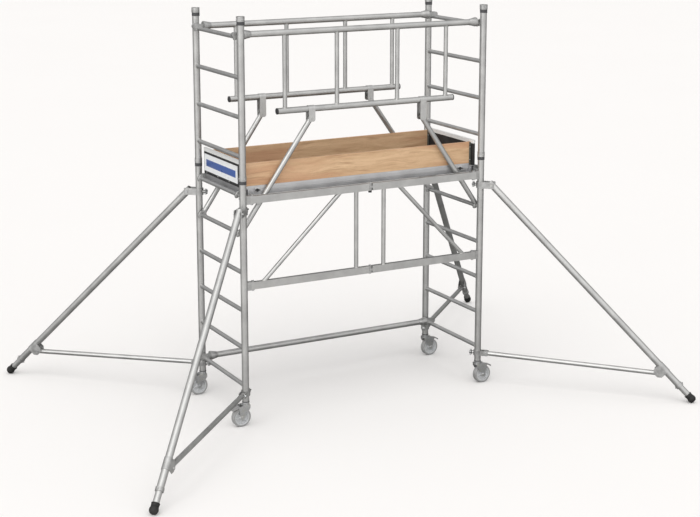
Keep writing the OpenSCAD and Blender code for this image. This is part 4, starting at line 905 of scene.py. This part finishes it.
def seen_directly(m):
    """1 where the camera looks straight at the floor, 0 in reflections and bounced light."""
    return m.nodes.new("ShaderNodeLightPath").outputs["Is Camera Ray"]


def painted_floor_reflection(m):
    """Painted reflection of the floor for the metal: a colour, not light, painted bright on the side of the
    key light and painted dim beyond the tower, so that the tubes' undersides show painted shade.
    """
    away = m.nodes.new("ShaderNodeVectorMath")
    away.operation = "DOT_PRODUCT"
    m.links.new(m.coordinates, away.inputs[0])
    away.inputs[1].default_value = BEHIND_TOWER
    # painted shade: the floor's colour for reflections darkens away from the camera side, beyond the tower
    shade = m.span(away.outputs["Value"], -3.0, 0.3, 0.0, 1.0)
    return m.mix(shade, rgb(0.80, 0.79, 0.78), rgb(0.20, 0.20, 0.195))


def floor_material():
    """Plain pale floor with very faint clouding as the camera sees it; in reflections and bounced light it
    is a painted darker floor that puts painted shade on the metal.
    """
    m = Material("pale_floor")
    m.set(specular_ior_level=0.2)
    cloud = m.noise(m.coordinates, (0.35, 0.35, 0.35), detail=3)
    grain = m.noise(m.coordinates, (60, 60, 60), detail=2)
    color = m.mix(cloud, rgb(0.90, 0.885, 0.875), rgb(0.915, 0.90, 0.89))
    # camera rays see the pale floor; reflections and bounced light see the painted reflection with its
    # painted shade
    return m.surface(m.mix(seen_directly(m), painted_floor_reflection(m), color), 0.75, m.bump(grain, 0.04, 0.0006))


def add_sun(name, strength, spread, direction, color, shadows=True):
    """Light from far away, so that the floor is lit evenly; spread in degrees softens its shadows."""
    light = bpy.data.lights.new(name, "SUN")
    light.energy = strength
    light.use_shadow = shadows
    light.angle = math.radians(spread)
    light.color = color
    obj = bpy.data.objects.new(name, light)
    obj.rotation_euler = Vector(direction).to_track_quat("-Z", "Y").to_euler()
    bpy.context.scene.collection.objects.link(obj)


bpy.ops.mesh.primitive_circle_add(vertices=96, radius=FLOOR_RADIUS, fill_type="NGON", location=(0, 0, 0))
floor = bpy.context.object
floor.name = "studio_floor"
floor.data.materials.append(floor_material())


def studio_sky():
    """Light of a large soft panel above and in front: strong towards it, weaker away from it."""
    world = bpy.data.worlds.new("studio")
    bpy.context.scene.world = world
    world.use_nodes = True
    nodes, links = world.node_tree.nodes, world.node_tree.links
    direction = nodes.new("ShaderNodeTexCoord")
    towards_panel = nodes.new("ShaderNodeVectorMath")
    towards_panel.operation = "DOT_PRODUCT"
    towards_panel.inputs[1].default_value = PANEL_DIRECTION
    ramp = nodes.new("ShaderNodeMapRange")
    limits = {"From Min": -0.2, "From Max": 0.8, "To Min": 0.42, "To Max": 1.0}
    for name, number in limits.items():
        ramp.inputs[name].default_value = number
    background = nodes["Background"]
    links.new(direction.outputs["Generated"], towards_panel.inputs[0])
    links.new(towards_panel.outputs["Value"], ramp.inputs["Value"])
    links.new(ramp.outputs["Result"], background.inputs["Strength"])
    background.inputs["Color"].default_value = (1.0, 0.995, 0.99, 1)


studio_sky()
add_sun("key", 0.85, 60, (0.45, 0.62, -1.0), (1.0, 0.99, 0.97))
add_sun("fill", 0.15, 60, (-0.75, 0.85, -0.8), (0.98, 0.99, 1.0))
add_sun("edge", 0.60, 25, (0.894, 0.447, -0.36), (1.0, 1.0, 1.0), shadows=False)

camera_data = bpy.data.cameras.new("camera")
camera_data.sensor_fit = "HORIZONTAL"
camera_data.sensor_width = 36.0
camera_data.lens = LENS
camera_data.shift_y = LENS_SHIFT
camera_data.clip_end = 300.0
camera = bpy.data.objects.new("camera", camera_data)
flat = math.cos(CAMERA_DOWN)
view_dir = Vector((math.sin(CAMERA_AZIMUTH) * flat, math.cos(CAMERA_AZIMUTH) * flat, -math.sin(CAMERA_DOWN)))
camera.location = CAMERA_PLACE
camera.rotation_euler = view_dir.to_track_quat("-Z", "Y").to_euler()
bpy.context.scene.collection.objects.link(camera)
bpy.context.scene.camera = camera
bpy.context.scene.view_settings.view_transform = "Standard"
